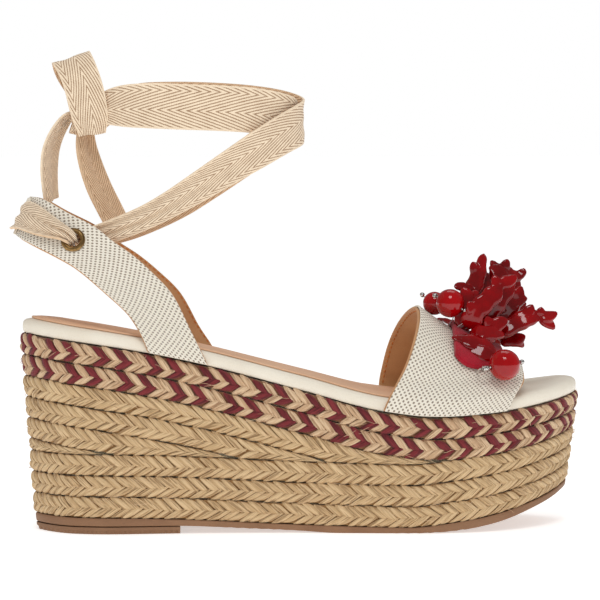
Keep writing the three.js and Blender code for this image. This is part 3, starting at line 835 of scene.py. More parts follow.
@dataclass(frozen=True)
class Canvas:
    """Plain-woven cream canvas printed with small taupe dots on a diagonal grid."""

    name: str = "dotted_canvas"
    ground: Tint = tint(246, 240, 226)
    shade: Tint = tint(230, 219, 200)
    dot: Tint = tint(116, 94, 74)
    pitch: float = 0.00155
    thread: float = 0.00042

    def make(self) -> bpy.types.Material:
        """Mix the canvas."""
        r = Recipe(self.name, Roughness=0.9, Specular_IOR_Level=0.15, Sheen_Weight=0.12, Sheen_Roughness=0.5)
        u, v, _ = r.split(r.place(uv=True))
        wobble = r.math("MULTIPLY", r.math("SUBTRACT", r.noise(r.bring(u, v), 260, 2), 0.5), 0.0005)
        turns = math.pi * math.sqrt(2) / self.pitch
        p = r.math("MULTIPLY", r.math("ADD", u, wobble), turns)
        q = r.math("MULTIPLY", r.math("ADD", v, wobble), turns)
        crowd = r.math("MULTIPLY", r.math("SINE", p), r.math("SINE", q))
        ragged = r.math("MULTIPLY", r.math("SUBTRACT", r.noise(r.bring(u, v), 2600, 2), 0.5), 0.5)
        dots = r.span(r.math("ADD", crowd, ragged), 0.22, 0.55)
        weave_u = r.math("SINE", r.math("MULTIPLY", u, 2 * math.pi / self.thread))
        weave_v = r.math("SINE", r.math("MULTIPLY", v, 2 * math.pi / self.thread))
        weave = r.math("MULTIPLY", weave_u, weave_v)
        slub = r.noise(r.bring(r.math("MULTIPLY", u, 0.15), v), 1500, 2)
        ground = r.blend(r.math("ADD", r.span(weave, -1, 0.6, 0.35, 0), r.span(slub, 0.35, 0.7, 0, 0.4)),
                         self.ground, self.shade)
        r.relief(weave, 0.00009, 0.5)
        return r.dress(r.blend(r.math("MULTIPLY", dots, 0.85), ground, self.dot))


@dataclass(frozen=True)
class Tape:
    """Cotton herringbone tape: three slanted zones across its width."""

    name: str = "herringbone_tape"
    light: Tint = tint(250, 229, 200)
    line: Tint = tint(160, 127, 98)
    zone: float = 0.0086
    first: float = 0.007
    slant: float = 18.0
    space: float = 0.0013

    def make(self) -> bpy.types.Material:
        """Mix the tape."""
        r = Recipe(self.name, Roughness=0.85, Specular_IOR_Level=0.2, Sheen_Weight=0.15, Sheen_Roughness=0.5)
        u, v, _ = r.split(r.place(uv=True))
        fold = r.math("PINGPONG", r.math("ADD", v, self.first + 2 * self.zone), self.zone)
        a = math.radians(self.slant)
        row = r.math("SUBTRACT", r.math("MULTIPLY", fold, math.cos(a)), r.math("MULTIPLY", u, math.sin(a)))
        wobble = r.math("MULTIPLY", r.math("SUBTRACT", r.noise(r.bring(u, v), 700, 2), 0.5), 0.0003)
        phase = r.math("MULTIPLY", r.math("ADD", row, wobble), 2 * math.pi / self.space)
        wave = r.math("SINE", phase)
        cross = r.math("SINE", r.math("MULTIPLY", u, 2 * math.pi / 0.00075))
        ragged = r.math("MULTIPLY", cross, 0.22)
        line = r.span(r.math("ADD", wave, ragged), 0.15, 0.62)
        selvedge = r.span(r.math("ABSOLUTE", v), 0.0090, 0.0094)
        tone = r.math("MULTIPLY", r.math("MULTIPLY", line, 0.85), r.span(selvedge, 0, 1, 1, 0.15))
        cloud = r.span(r.noise(r.bring(u, v), 180, 2), 0.3, 0.7, 0, 0.12)
        r.relief(r.math("ADD", r.math("MULTIPLY", wave, -0.6), r.math("MULTIPLY", cross, 0.25)), 0.00016, 0.6)
        return r.dress(r.blend(r.math("ADD", tone, cloud), self.light, self.line))


@dataclass(frozen=True)
class Jute:
    """A flat-plaited jute strand: long fibres, and a tone of its own for each strand."""

    name: str
    light: Tint
    dark: Tint
    deep: Tint

    def make(self) -> bpy.types.Material:
        """Mix the strand."""
        r = Recipe(self.name, Roughness=0.82, Specular_IOR_Level=0.25, Sheen_Weight=0.1, Sheen_Roughness=0.6)
        u, v, _ = r.split(r.place(uv=True))
        own = r.island()
        fibre_at = r.bring(r.math("MULTIPLY", u, 20), r.math("MULTIPLY", v, 1.3), r.math("MULTIPLY", own, 40))
        coarse_at = r.bring(r.math("MULTIPLY", u, 12), r.math("MULTIPLY", v, 1.1),
                            r.math("MULTIPLY", own, 70))
        fibres, coarse = r.noise(fibre_at, 1, 3, 0.65), r.noise(coarse_at, 1, 2)
        shade = r.math("ADD", r.span(fibres, 0.4, 0.6, 0, 0.8), r.math("MULTIPLY", own, 0.35))
        body = r.blend(shade, self.light, self.dark)
        groove = r.span(coarse, 0.34, 0.46, 0.75, 0)
        r.relief(r.math("ADD", fibres, r.math("MULTIPLY", coarse, 0.8)), 0.0004, 0.6)
        return r.dress(r.blend(groove, body, self.deep))


@dataclass(frozen=True)
class Rubber:
    """Moulded rubber with fine speckle and a soft sheen."""

    name: str
    light: Tint
    dark: Tint
    rough: float = 0.55

    def make(self) -> bpy.types.Material:
        """Mix the rubber."""
        r = Recipe(self.name, Specular_IOR_Level=0.35)
        at = r.place(uv=False)
        cloud, fine = r.noise(at, 60, 3), r.noise(at, 2600, 3)
        r.relief(fine, 0.00015, 0.3)
        shade = r.math("ADD", r.span(cloud, 0.3, 0.7, 0, 0.5), r.span(fine, 0.35, 0.7, 0, 0.4))
        rough = r.span(cloud, 0.3, 0.7, self.rough, self.rough + 0.12)
        return r.dress(r.blend(shade, self.light, self.dark), rough)


@dataclass(frozen=True)
class Gloss:
    """Polished red resin: even colour, a hard coat, and a painted highlight along its rims."""

    name: str
    light: Tint
    dark: Tint
    # rim: the lighter red laid along convex rims, a painted highlight
    rim: Tint
    rough: float = 0.14
    coat: float = 0.6

    def make(self) -> bpy.types.Material:
        """Mix the resin."""
        r = Recipe(self.name, Specular_IOR_Level=0.1, Coat_Weight=self.coat, Coat_Roughness=0.05, IOR=1.5)
        at = r.place(uv=False)
        cloud, fine = r.noise(at, 95, 3), r.noise(at, 900, 2)
        body = r.blend(r.span(cloud, 0.3, 0.7), self.light, self.dark)
        # Painted highlight: the rim tint on convex edges stands in for the lamps' reflections along the rims
        edge_wear_and_highlight = r.math("MULTIPLY", r.span(r.edge(), 0.53, 0.62), 0.45)
        r.relief(cloud, 0.0006, 0.25)
        rough = r.span(fine, 0.3, 0.7, self.rough - 0.03, self.rough + 0.05)
        return r.dress(r.blend(edge_wear_and_highlight, body, self.rim), rough)


@dataclass(frozen=True)
class Metal:
    """Worn metal: dark in its hollows, bright along its edges."""

    name: str
    bright: Tint
    dark: Tint
    rough: float = 0.3

    def make(self) -> bpy.types.Material:
        """Mix the metal."""
        r = Recipe(self.name, Metallic=1.0)
        at = r.place(uv=False)
        stain = r.noise(at, 700, 4, 0.6)
        edge_wear_and_highlight = r.span(r.edge(), 0.46, 0.6, 0, 0.7)
        share = r.math("ADD", r.span(stain, 0.35, 0.65, 0.1, 0.6), edge_wear_and_highlight)
        r.relief(stain, 0.00006, 0.3)
        rough = r.span(stain, 0.3, 0.7, self.rough + 0.15, self.rough)
        return r.dress(r.blend(share, self.dark, self.bright), rough)


@dataclass(frozen=True)
class Fuzz:
    """A dull fibrous or crumbly stuff, such as felt, foam, board or thread."""

    name: str
    light: Tint
    dark: Tint
    scale: float = 1400.0
    depth: float = 0.0004

    def make(self) -> bpy.types.Material:
        """Mix the stuff."""
        r = Recipe(self.name, Roughness=0.95, Specular_IOR_Level=0.1, Sheen_Weight=0.2, Sheen_Roughness=0.5)
        at = r.place(uv=False)
        fine, cloud = r.noise(at, self.scale, 4, 0.65), r.noise(at, 90, 2)
        r.relief(fine, self.depth, 0.7)
        shade = r.math("ADD", r.span(fine, 0.35, 0.65, 0, 0.7), r.span(cloud, 0.35, 0.65, 0, 0.3))
        return r.dress(r.blend(shade, self.light, self.dark))


class Finish(Enum):
    """Every finish on the sandal, by the record's material slots where it has one."""

    CREAM_LEATHER = Leather("cream_leather", tint(241, 233, 216), tint(228, 216, 196), 1700, 0.42)
    TAN_LEATHER = Leather("tan_leather", tint(206, 158, 112), tint(184, 134, 90), 1500, 0.55)
    SOCK_LEATHER = Leather("sock_leather", tint(233, 190, 155), tint(218, 172, 136), 1500, 0.6)
    CANVAS = Canvas()
    TAPE = Tape()
    # The tape's back face: a darker copy of the tape, painted shade on its inner faces
    TAPE_BACK = Tape("herringbone_tape_back", tint(232, 200, 164), tint(156, 116, 82))
    JUTE_PALE = Jute("jute_pale", tint(224, 196, 160), tint(196, 160, 124), tint(142, 104, 74))
    JUTE_RED = Jute("jute_burgundy", tint(132, 46, 50), tint(106, 34, 38), tint(72, 22, 24))
    JUTE_NATURAL = Jute("jute_natural", tint(224, 195, 152), tint(196, 164, 121), tint(140, 106, 70))
    # Dark stuff for the strip behind the strands: painted shade in the gaps between lobes
    JUTE_SHADE = Fuzz("jute_shade", tint(140, 98, 70), tint(104, 68, 46), 1600, 0.0004)
    JUTE_SHADE_NATURAL = Fuzz("jute_shade_natural", tint(168, 130, 86), tint(128, 94, 58), 1600, 0.0004)
    OUTSOLE = Rubber("outsole_rubber", tint(150, 112, 82), tint(132, 96, 70))
    LIFT = Rubber("lift_rubber", tint(148, 111, 82), tint(130, 95, 70), 0.62)
    # The third tint of the coral and bead resins is their painted rim highlight
    CORAL = Gloss("coral_resin", tint(150, 0, 6), tint(112, 0, 3), tint(184, 14, 22), 0.12, 0.75)
    BEAD = Gloss("bead_resin", tint(168, 0, 6), tint(150, 0, 4), tint(176, 6, 16), 0.08, 0.75)
    BRASS = Metal("antique_brass", tint(166, 132, 84), tint(74, 54, 32), 0.32)
    SILVER = Metal("silver_wire", tint(226, 224, 220), tint(130, 128, 126), 0.18)
    FELT = Fuzz("crimson_felt", tint(186, 22, 46), tint(140, 10, 28), 2200, 0.0004)
    FOAM = Fuzz("cushion_foam", tint(238, 226, 196), tint(214, 198, 164), 1300, 0.0006)
    BOARD = Fuzz("insole_board", tint(176, 140, 100), tint(150, 116, 80), 900, 0.0003)
    THREAD_BROWN = Fuzz("brown_thread", tint(214, 134, 68), tint(180, 104, 50), 3000, 0.0001)

    @property
    def material(self) -> bpy.types.Material:
        """Give the finish's material, made the first time it is asked for."""
        return bpy.data.materials.get(f"{self.value.name}_finish") or self.value.make()


# ---------------------------------------------------------------- studio


@dataclass
class Studio:
    """The pale floor, the soft lights and the camera."""

    target: tuple[float, float, float] = (0.0, 0.0, 98.8)
    azimuth: float = -7.0
    elevation: float = 3.0
    distance: float = 1500.0
    lens: float = 205.7
    room: float = 0.6
    mirrored: float = 0.35

    def camera(self) -> None:
        """Stand the camera level with the shoe, off its outer side."""
        a, e = math.radians(self.azimuth), math.radians(self.elevation)
        back = np.array([math.sin(a) * math.cos(e), -math.cos(a) * math.cos(e), math.sin(e)])
        place = row_frame(np.array(self.target) + back * self.distance)
        Bench.clear()
        bpy.ops.object.camera_add(location=place)
        eye = bpy.context.object
        eye.rotation_euler = Vector(back).to_track_quat("Z", "Y").to_euler()
        eye.data.lens, eye.data.sensor_width = self.lens, 36
        eye.data.clip_start, eye.data.clip_end = 0.01, 50
        bpy.context.scene.camera = eye

    def floor(self) -> None:
        """Lay the plain pale floor."""
        Bench.clear()
        bpy.ops.mesh.primitive_plane_add(size=30)
        ground = bpy.context.object
        ground.name = "floor"
        finish = Recipe("pale_floor", Base_Color=(0.93, 0.93, 0.93, 1), Roughness=0.75,
                        Specular_IOR_Level=0.1, Emission_Color=(1, 1, 1, 1), Emission_Strength=0.5)
        ground.data.materials.append(finish.material)

    def lamp(self, name: str, place: Sequence[float], size: tuple[float, float], power: float) -> None:
        """Hang a soft box that faces the shoe's middle.

        Args:
            name: the lamp's name.
            place: where it hangs, in metres from the target.
            size: its width and height in metres.
            power: its strength in watts.
        """
        aim = row_frame(np.array(self.target))
        Bench.clear()
        bpy.ops.object.light_add(type="AREA", location=aim + np.array(place))
        box = bpy.context.object
        box.name = name
        box.data.shape, box.data.size, box.data.size_y = "RECTANGLE", *size
        box.data.energy = power
        box.rotation_euler = Vector(place).to_track_quat("Z", "Y").to_euler()

    def light(self) -> None:
        """Set the even white room, darker where it is mirrored, and the soft boxes."""
        world = bpy.data.worlds.new("white_room")
        bpy.context.scene.world = world
        world.use_nodes = True
        sky = world.node_tree.nodes["Background"]
        sky.inputs[0].default_value = (1, 1, 1, 1)
        rays = world.node_tree.nodes.new("ShaderNodeLightPath")
        share = world.node_tree.nodes.new("ShaderNodeMapRange")
        share.inputs["To Min"].default_value, share.inputs["To Max"].default_value = self.room, 1.0
        world.node_tree.links.new(rays.outputs["Is Camera Ray"], share.inputs["Value"])
        gloss = world.node_tree.nodes.new("ShaderNodeMapRange")
        gloss.inputs["To Min"].default_value, gloss.inputs["To Max"].default_value = 1.0, self.mirrored
        world.node_tree.links.new(rays.outputs["Is Glossy Ray"], gloss.inputs["Value"])
        both = world.node_tree.nodes.new("ShaderNodeMath")
        both.operation = "MULTIPLY"
        world.node_tree.links.new(share.outputs[0], both.inputs[0])
        world.node_tree.links.new(gloss.outputs[0], both.inputs[1])
        world.node_tree.links.new(both.outputs[0], sky.inputs[1])
        self.lamp("key_box", (-0.05, -0.75, 1.05), (0.44, 0.38), 3.6)
        self.lamp("top_box", (0.2, 0.5, 1.1), (0.7, 0.5), 1.6)
        bpy.context.scene.view_settings.view_transform = "Standard"

    def build(self) -> None:
        """Set up the whole studio."""
        self.camera()
        self.floor()
        self.light()


# ---------------------------------------------------------------- sole


@dataclass
class Sole:
    """The outsole, the heel lift, the padded footbed and its sock lining."""

    stations: int = 150
    lift_end: float = -55.0
    sock_end: float = 70.0
    rib_pitch: float = 2.2

    def loaf(self, profile: Callable[[np.ndarray], tuple[np.ndarray, np.ndarray]],
             stop: float | None = None) -> bpy.types.Object:
        """Shape a solid that runs along the foot from the heel's tip.

        Args:
            profile: gives, for stations' x, the closed section's insets and heights from the
                outer side's lowest edge up, over the top and down the other side; stations by points.
            stop: the last x, or None for the toe's tip.

        Returns:
            The solid.
        """
        t = np.linspace(0, 1, 4001)
        toe = SOLE.toe_share()
        out, inn = t[t <= toe], t[t >= toe]
        start, tip = float(SOLE.ahead(0.0)), float(SOLE.ahead(toe))
        x = start + ((tip if stop is None else stop) - start) * spread(self.stations)
        lateral = np.interp(x, SOLE.ahead(out), out)
        medial = np.interp(x, SOLE.ahead(inn)[::-1], inn[::-1])
        inset, z = profile(x)
        rows = []
        for share in (lateral, medial):
            rows.append(SOLE.wall(np.repeat(share[:, None], inset.shape[1], 1), inset, z))
        across = np.linspace(0, 1, 9)[1:-1, None, None]
        top = rows[0][:, -1] + (rows[1][:, -1] - rows[0][:, -1]) * across
        under = rows[1][:, 0] + (rows[0][:, 0] - rows[1][:, 0]) * across
        ring = np.concatenate([rows[0], top.transpose(1, 0, 2), rows[1][:, ::-1],
                               under.transpose(1, 0, 2), rows[0][:, :1]], axis=1)
        obj = Bench.grid(ring)
        Bench.edit(obj, lambda: bpy.ops.mesh.remove_doubles(threshold=2e-6))
        Bench.pick(obj)
        bpy.ops.object.mode_set(mode="EDIT")
        bpy.ops.mesh.select_all(action="DESELECT")
        bpy.ops.mesh.select_non_manifold()
        bpy.ops.mesh.edge_face_add()
        bpy.ops.mesh.select_all(action="SELECT")
        bpy.ops.mesh.normals_make_consistent(inside=False)
        bpy.ops.object.mode_set(mode="OBJECT")
        return obj

    @staticmethod
    def columns(x: np.ndarray, steps: Sequence[tuple[float, np.ndarray]]) -> tuple[np.ndarray, np.ndarray]:
        """Stack a section's insets and heights."""
        inset = np.stack([np.full_like(x, i) for i, _ in steps], axis=1)
        return inset, np.stack([np.asarray(z) * np.ones_like(x) for _, z in steps], axis=1)

    def footbed(self) -> None:
        """Wrap the padded footbed in cream leather, its rim rounded over."""
        def section(x: np.ndarray) -> tuple[np.ndarray, np.ndarray]:
            """Give the cover's section."""
            z, rim = SOLE.top(x), SOLE.rim
            steps = [(2.6, z + 0.3), (1.9, z + 0.45), (1.55, z + 1.0), (1.4, z + 2.2), (1.4, z + 3.6),
                     (1.6, z + 4.7), (2.1, z + rim - 0.9), (2.9, z + rim - 0.35), (4.2, z + rim - 0.05),
                     (5.8, z + rim + 0.05), (9.0, z + rim - 0.1)]
            return self.columns(x, steps)

        obj = self.loaf(section)
        Bench.modify(obj, "SMOOTH", factor=0.4, iterations=2)
        Bench.smooth(obj, 50)
        Bench.finish(obj, "footbed_cover_pad", Finish.CREAM_LEATHER.material, "cream_leather",
                     replaces=["footbed_cover"])

    def sock(self) -> None:
        """Lay the thin leather sock lining on the footbed, with a turned edge line."""
        def section(x: np.ndarray) -> tuple[np.ndarray, np.ndarray]:
            """Give the lining's section."""
            z = SOLE.top(x) + SOLE.rim
            return self.columns(x, [(5.5, z + 0.15), (5.3, z + 0.4), (5.4, z + 0.85), (5.8, z + 1.0),
                                    (6.5, z + 0.85),
                                    (7.2, z + 1.0), (9.5, z + 1.05)])

        obj = self.loaf(section, stop=self.sock_end)
        Bench.smooth(obj, 50)
        Bench.finish(obj, "sock_lining_sheet", Finish.SOCK_LEATHER.material, "tan_leather",
                     replaces=["sock_lining"])

    def outsole(self) -> None:
        """Mould the rocker outsole with a rounded rand and cross ribs under the tread."""
        def section(x: np.ndarray) -> tuple[np.ndarray, np.ndarray]:
            """Give the outsole's section."""
            low, high = SOLE.tread(x), SOLE.base(x) - 0.15
            thick = high - low
            return self.columns(x, [(1.4, low), (1.05, low + 0.08 * thick), (0.9, low + 0.3 * thick),
                                    (0.8, low + 0.6 * thick), (0.75, low + 0.85 * thick), (1.1, high)])

        obj = self.loaf(section)
        points = Bench.read(obj)
        mine = points / MM - ORIGIN
        low = mine[:, 2] - SOLE.tread(mine[:, 0])
        groove = np.clip(1.2 - np.abs((mine[:, 0] % 5.2) - 2.6), 0, 1) * (mine[:, 0] > self.lift_end + 6)
        under = np.clip(1 - low / 0.2, 0, 1) * (np.abs(mine[:, 1]) < 60)
        points[:, 2] += groove * under * 0.45 * MM
        Bench.write(obj, points)
        Bench.smooth(obj, 40)
        Bench.finish(obj, "outsole_rocker", Finish.OUTSOLE.material, "rubber", replaces=["outsole"])

    def lift(self) -> None:
        """Mould the heel lift, with fine ribs round its lower edge."""
        def section(x: np.ndarray) -> tuple[np.ndarray, np.ndarray]:
            """Give the lift's section."""
            high = np.minimum(3.1, SOLE.tread(x) - 0.15)
            rib = 0.35 * (np.sin(2 * np.pi * x / self.rib_pitch) > 0)
            inset = np.stack([3.0 + 0 * x, 2.0 + rib, 1.5 + rib, 1.25 + 0 * x, 1.1 + 0 * x,
                              1.2 + 0 * x], axis=1)
            share = np.array([0, 0.04, 0.5, 0.56, 0.9, 1.0])
            return inset, high[:, None] * share

        obj = self.loaf(section, stop=self.lift_end)
        Bench.smooth(obj, 30)
        Bench.finish(obj, "heel_lift_ribbed", Finish.LIFT.material, "rubber", replaces=["heel_lift"])

    def core(self) -> None:
        """Dress the CAD solids that the footbed and the braids cover."""
        for node, finish in (("wedge_core", Finish.FOAM), ("cushion_foam", Finish.FOAM),
                             ("insole_board", Finish.BOARD)):
            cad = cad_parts[node]
            cad.data.materials.clear()
            cad.data.materials.append(finish.material)

    def build(self) -> None:
        """Build every layer from the ground up."""
        self.lift()
        self.outsole()
        self.core()
        self.footbed()
        self.sock()


# ---------------------------------------------------------------- braids


@dataclass(frozen=True)
class Course:
    """One braided course of the wedge."""

    node: str
    low: Height
    high: Height
    two_tone: bool = False
    start: float | None = None
    phase: float = 0.0


@dataclass
class BraidedWall:
    """The plaited courses stacked up the wedge's wall."""

    pitch: float = 4.6
    strands: int = 5
    second_colour: tuple[int, ...] = (0, 2)
    two_tone_slants: tuple[float, float] = (52.0, 40.0)
    natural_slants: tuple[float, float] = (42.0, 35.0)
    meet: float = 0.56
    overlap: float = 1.0
    fullness: tuple[float, float] = (0.555, 0.60)
    thickness: float = 0.85
    crown: float = 1.1
    least: float = 1.7
    gap: float = 0.05
    pod_points: int = 50
    strays: int = 320

    def courses(self) -> list[Course]:
        """List the nine courses with their lower and upper edges."""
        top, base, c = SOLE.top, SOLE.base, SOLE.course
        rows = [Course("braid_two_tone_upper", lambda x: top(x) - c(x), top, True),
                Course("braid_two_tone_lower", lambda x: top(x) - 2 * c(x), lambda x: top(x) - c(x), True,
                       phase=0.45),
                Course("braid_natural_7", base, lambda x: base(x) + c(x), phase=0.15),
                Course("braid_natural_6", lambda x: base(x) + c(x), lambda x: base(x) + 2 * c(x), phase=0.62),
                Course("braid_natural_5", lambda x: base(x) + 2 * c(x), lambda x: base(x) + 3 * c(x))]
        for number, k in enumerate((2, 3, 4, 5), start=1):
            def high(x: np.ndarray, k: int = k) -> np.ndarray:
                """Give the course's upper edge."""
                return top(x) - k * c(x)

            def low(x: np.ndarray, k: int = k) -> np.ndarray:
                """Give the course's lower edge."""
                return np.maximum(top(x) - (k + 1) * c(x), base(x) + 3 * c(x))

            xs = np.linspace(-122.5, 60, 3000)
            open_x = xs[(high(xs) - base(xs) - 3 * c(xs)) > self.least]
            rows.append(Course(f"braid_natural_{number}", low, high, start=float(open_x.max())))
        return rows

    def strand(self) -> bpy.types.Object:
        """Shape one strand's lobe: a flat eight-sided pod with full shoulders, lying along Z."""
        Bench.clear()
        bpy.ops.mesh.primitive_uv_sphere_add(segments=8, ring_count=7, radius=1, calc_uvs=True)
        pod = bpy.context.object
        p = Bench.read(pod)
        ring = np.maximum(np.hypot(p[:, 0], p[:, 1]), 1e-9)
        full = np.maximum(1 - np.abs(p[:, 2]) ** 5, 0) ** 0.45
        cos, sin = p[:, 0] / ring, p[:, 1] / ring
        p[:, 0] = np.sign(cos) * np.abs(cos) ** 0.6 * full
        p[:, 1] = np.sign(sin) * np.abs(sin) ** 0.8 * full
        p[ring < 1e-4, :2] = 0
        Bench.write(pod, p)
        return pod

    def cell(self, course: Course) -> bpy.types.Object:
        """Lay one period of the plait flat: every strand once in the upper half and once in the lower.

        X runs along the course, Y up it from 0 to 1 and Z out of the wall, in millimetres.

        Args:
            course: the course that the period is for.

        Returns:
            The pattern, wearing its strands' materials.
        """
        pods = []
        pattern = self.strand()
        height = SOLE.full_course
        slants = self.two_tone_slants if course.two_tone else self.natural_slants
        for upper in (True, False):
            slant = math.radians(slants[0 if upper else 1])
            rise = (self.meet if upper else 1 - self.meet) * height + self.overlap
            run = rise / math.tan(slant)
            for i in range(self.strands):
                pod = Bench.copy(pattern)
                p = Bench.read(pod)
                down = p[:, 2] * (1 if upper else -1)
                side = p[:, 0] * self.pitch * self.fullness[0 if course.two_tone else 1]
                tuck = np.clip(p[:, 2] - 0.35, 0, 1) * (0.9 if upper else 0.5)
                x = i * self.pitch + p[:, 2] * run / 2 + run / 2 + side
                middle = height + 0.15 - rise / 2 if upper else rise / 2 - 0.15
                y = middle - down * rise / 2 + side * 0.12 * (-1 if upper else 1)
                Bench.write(pod, np.stack([x + (0 if upper else 0.5), y / height,
                                           p[:, 1] * self.thickness - tuck], axis=1))
                for material in self.materials(course):
                    pod.data.materials.append(material)
                colour = 1 if course.two_tone and i in self.second_colour else 0
                pod.data.polygons.foreach_set("material_index", [colour] * len(pod.data.polygons))
                pods.append(pod)
        Bench.pick(pattern)
        bpy.ops.object.delete()
        return Bench.join(pods)

    @staticmethod
    def materials(course: Course) -> list[bpy.types.Material]:
        """List a course's materials: its strands, the second colour and the painted shade behind."""
        strand = Finish.JUTE_PALE if course.two_tone else Finish.JUTE_NATURAL
        shade = Finish.JUTE_SHADE if course.two_tone else Finish.JUTE_SHADE_NATURAL
        return [strand.material, Finish.JUTE_RED.material, shade.material]

    def plait(self, course: Course) -> None:
        """Plait one course round the wedge.

        Args:
            course: which one.
        """
        t = np.linspace(0, 1, 4001)
        toe = SOLE.toe_share()
        if course.start is None:
            first, last = 0.0, 1.0
        else:
            out, inn = t[t <= toe], t[t >= toe]
            last = float(np.interp(course.start, SOLE.ahead(out), out))
            first = float(np.interp(course.start, SOLE.ahead(inn)[::-1], inn[::-1])) - 1
        length = (last - first) * SOLE.plan.length
        period = self.strands * self.pitch
        count = int(round(length / period))
        obj = self.cell(course)
        Bench.modify(obj, "ARRAY", count=count, use_relative_offset=False, use_constant_offset=True,
                     constant_offset_displace=(period, 0, 0))
        p = self.uneven(Bench.read(obj))
        phase = course.phase / count if course.start is None else 0
        share = first + (p[:, 0] / (count * period) + phase) * (last - first)
        x = SOLE.ahead(share)
        low, high = course.low(x) + self.gap, course.high(x) - self.gap
        tall = np.maximum(high - low, 0.3)
        deep = np.clip(tall / SOLE.full_course, 0.35, 1)
        edge = np.abs(2 * np.clip(p[:, 1], 0, 1) - 1)
        inset = 0.75 - p[:, 2] * deep + self.crown * edge**4
        Bench.write(obj, row_frame(SOLE.wall(share, inset, low + p[:, 1] * tall)))
        obj = Bench.join([obj, self.shade_strip(course, np.linspace(first, last, count * 6 + 1))])
        Bench.smooth(obj, 60)
        Bench.finish(obj, course.node.replace("braid", "plait"), self.materials(course),
                     "jute_two_tone" if course.two_tone else "jute_natural", replaces=[course.node])

    def uneven(self, points: np.ndarray) -> np.ndarray:
        """Make each strand a little different from the next, as hand plaiting does.

        Args:
            points: the flat plait's points, strand after strand.

        Returns:
            The points moved.
        """
        rng = np.random.default_rng(SEED)
        p = points.reshape(-1, self.pod_points, 3).copy()
        middle = p.mean(axis=1, keepdims=True)
        grow = rng.uniform(0.88, 1.1, (len(p), 1, 3))
        shift = rng.normal(0, 1, (len(p), 1, 3)) * (0.28, 0.016, 0.12)
        p = middle + (p - middle) * grow + np.clip(shift, -0.5, 0.5)
        return p.reshape(-1, 3)

    def shade_strip(self, course: Course, shares: np.ndarray) -> bpy.types.Object:
        """Make the dark strip behind a course's strands: painted shade in the gaps between them.

        Args:
            course: which course.
            shares: where its stations stand round the wedge.

        Returns:
            The strip.
        """
        up = np.array([0.03, 0.5, 0.97])
        x = SOLE.ahead(shares)
        low, high = course.low(x), course.high(x)
        z = (low + 0.15)[:, None] + up * np.maximum(high - low - 0.3, 0.2)[:, None]
        strip = Bench.grid(SOLE.wall(np.repeat(shares[:, None], 3, 1), 1.1 + 0 * z, z))
        if course.start is None:
            Bench.edit(strip, lambda: bpy.ops.mesh.remove_doubles(threshold=2e-5))
        Bench.flip_outward(strip)
        Bench.modify(strip, "SOLIDIFY", thickness=2.0 * MM, offset=-1)
        for material in self.materials(course):
            strip.data.materials.append(material)
        strip.data.polygons.foreach_set("material_index", [2] * len(strip.data.polygons))
        return strip

    def stray_fibres(self) -> None:
        """Lift a few loose fibres off the plaits."""
        rng = np.random.default_rng(SEED + 1)
        hairs = []
        for _ in range(self.strays):
            t, level = rng.uniform(0, 1), rng.uniform(0.05, 0.97)
            x = SOLE.ahead(t)
            z = SOLE.base(x) + level * (SOLE.top(x) - SOLE.base(x))
            reach, rise = rng.uniform(4, 9), rng.uniform(-3.5, 3.5)
            share = t + np.linspace(0, 1, 4) * reach / SOLE.plan.length
            inset = np.array([0.9, -0.5, -0.9, 0.4]) + rng.uniform(-0.25, 0.25, 4)
            lift = z + rise * np.linspace(0, 1, 4) ** 1.5 + rng.uniform(-0.4, 0.4, 4)
            hairs.append(Bench.tube(SOLE.wall(share, inset, lift), 0.09, 3, 1.0))
        obj = Bench.join(hairs)
        Bench.finish(obj, "stray_jute_fibres", Finish.JUTE_PALE.material, "jute_natural")

    def build(self) -> None:
        """Plait all the courses."""
        for course in self.courses():
            self.plait(course)
        self.stray_fibres()


# ---------------------------------------------------------------- straps


class Layer(Enum):
    """The two layers of a strap, by their offsets from its middle surface and their way of thickening."""

    OUTER = (0.15, 1)
    LINING = (-0.15, -1)


@dataclass
class Stitches:
    """A row of short raised stitches."""

    length: float = 1.9
    width: float = 0.75
    pitch: float = 2.5

    def sew(self, name: str, path: np.ndarray, out: np.ndarray, finish: Finish) -> None:
        """Sew a row along a path.

        Args:
            name: the piece's name.
            path: the path's points.
            out: the unit normals along it.
            finish: the thread.
        """
        Bench.clear()
        bpy.ops.mesh.primitive_uv_sphere_add(segments=6, ring_count=5, radius=0.5)
        pattern = bpy.context.object
        Bench.edit(pattern, lambda: bpy.ops.transform.resize(
            value=(self.length * MM, self.width * MM, self.width * 0.8 * MM)))
        reach = np.r_[0, np.cumsum(np.linalg.norm(np.diff(path, axis=0), axis=1))]
        places = []
        for s in np.arange(self.pitch / 2, reach[-1], self.pitch):
            at = np.array([np.interp(s, reach, path[:, k]) for k in range(3)])
            ahead = np.array([np.interp(s + 0.6, reach, path[:, k]) for k in range(3)])
            normal = np.array([np.interp(s, reach, out[:, k]) for k in range(3)])
            x = unit(ahead - at)
            z = unit(normal - x * (normal @ x))
            turn = Matrix(np.stack([x, np.cross(z, x), z], axis=1)).to_4x4()
            places.append(Matrix.Translation(row_frame(at)) @ turn)
        obj = Bench.scatter(pattern, places)
        Bench.smooth(obj)
        Bench.finish(obj, name, finish.material, "canvas")


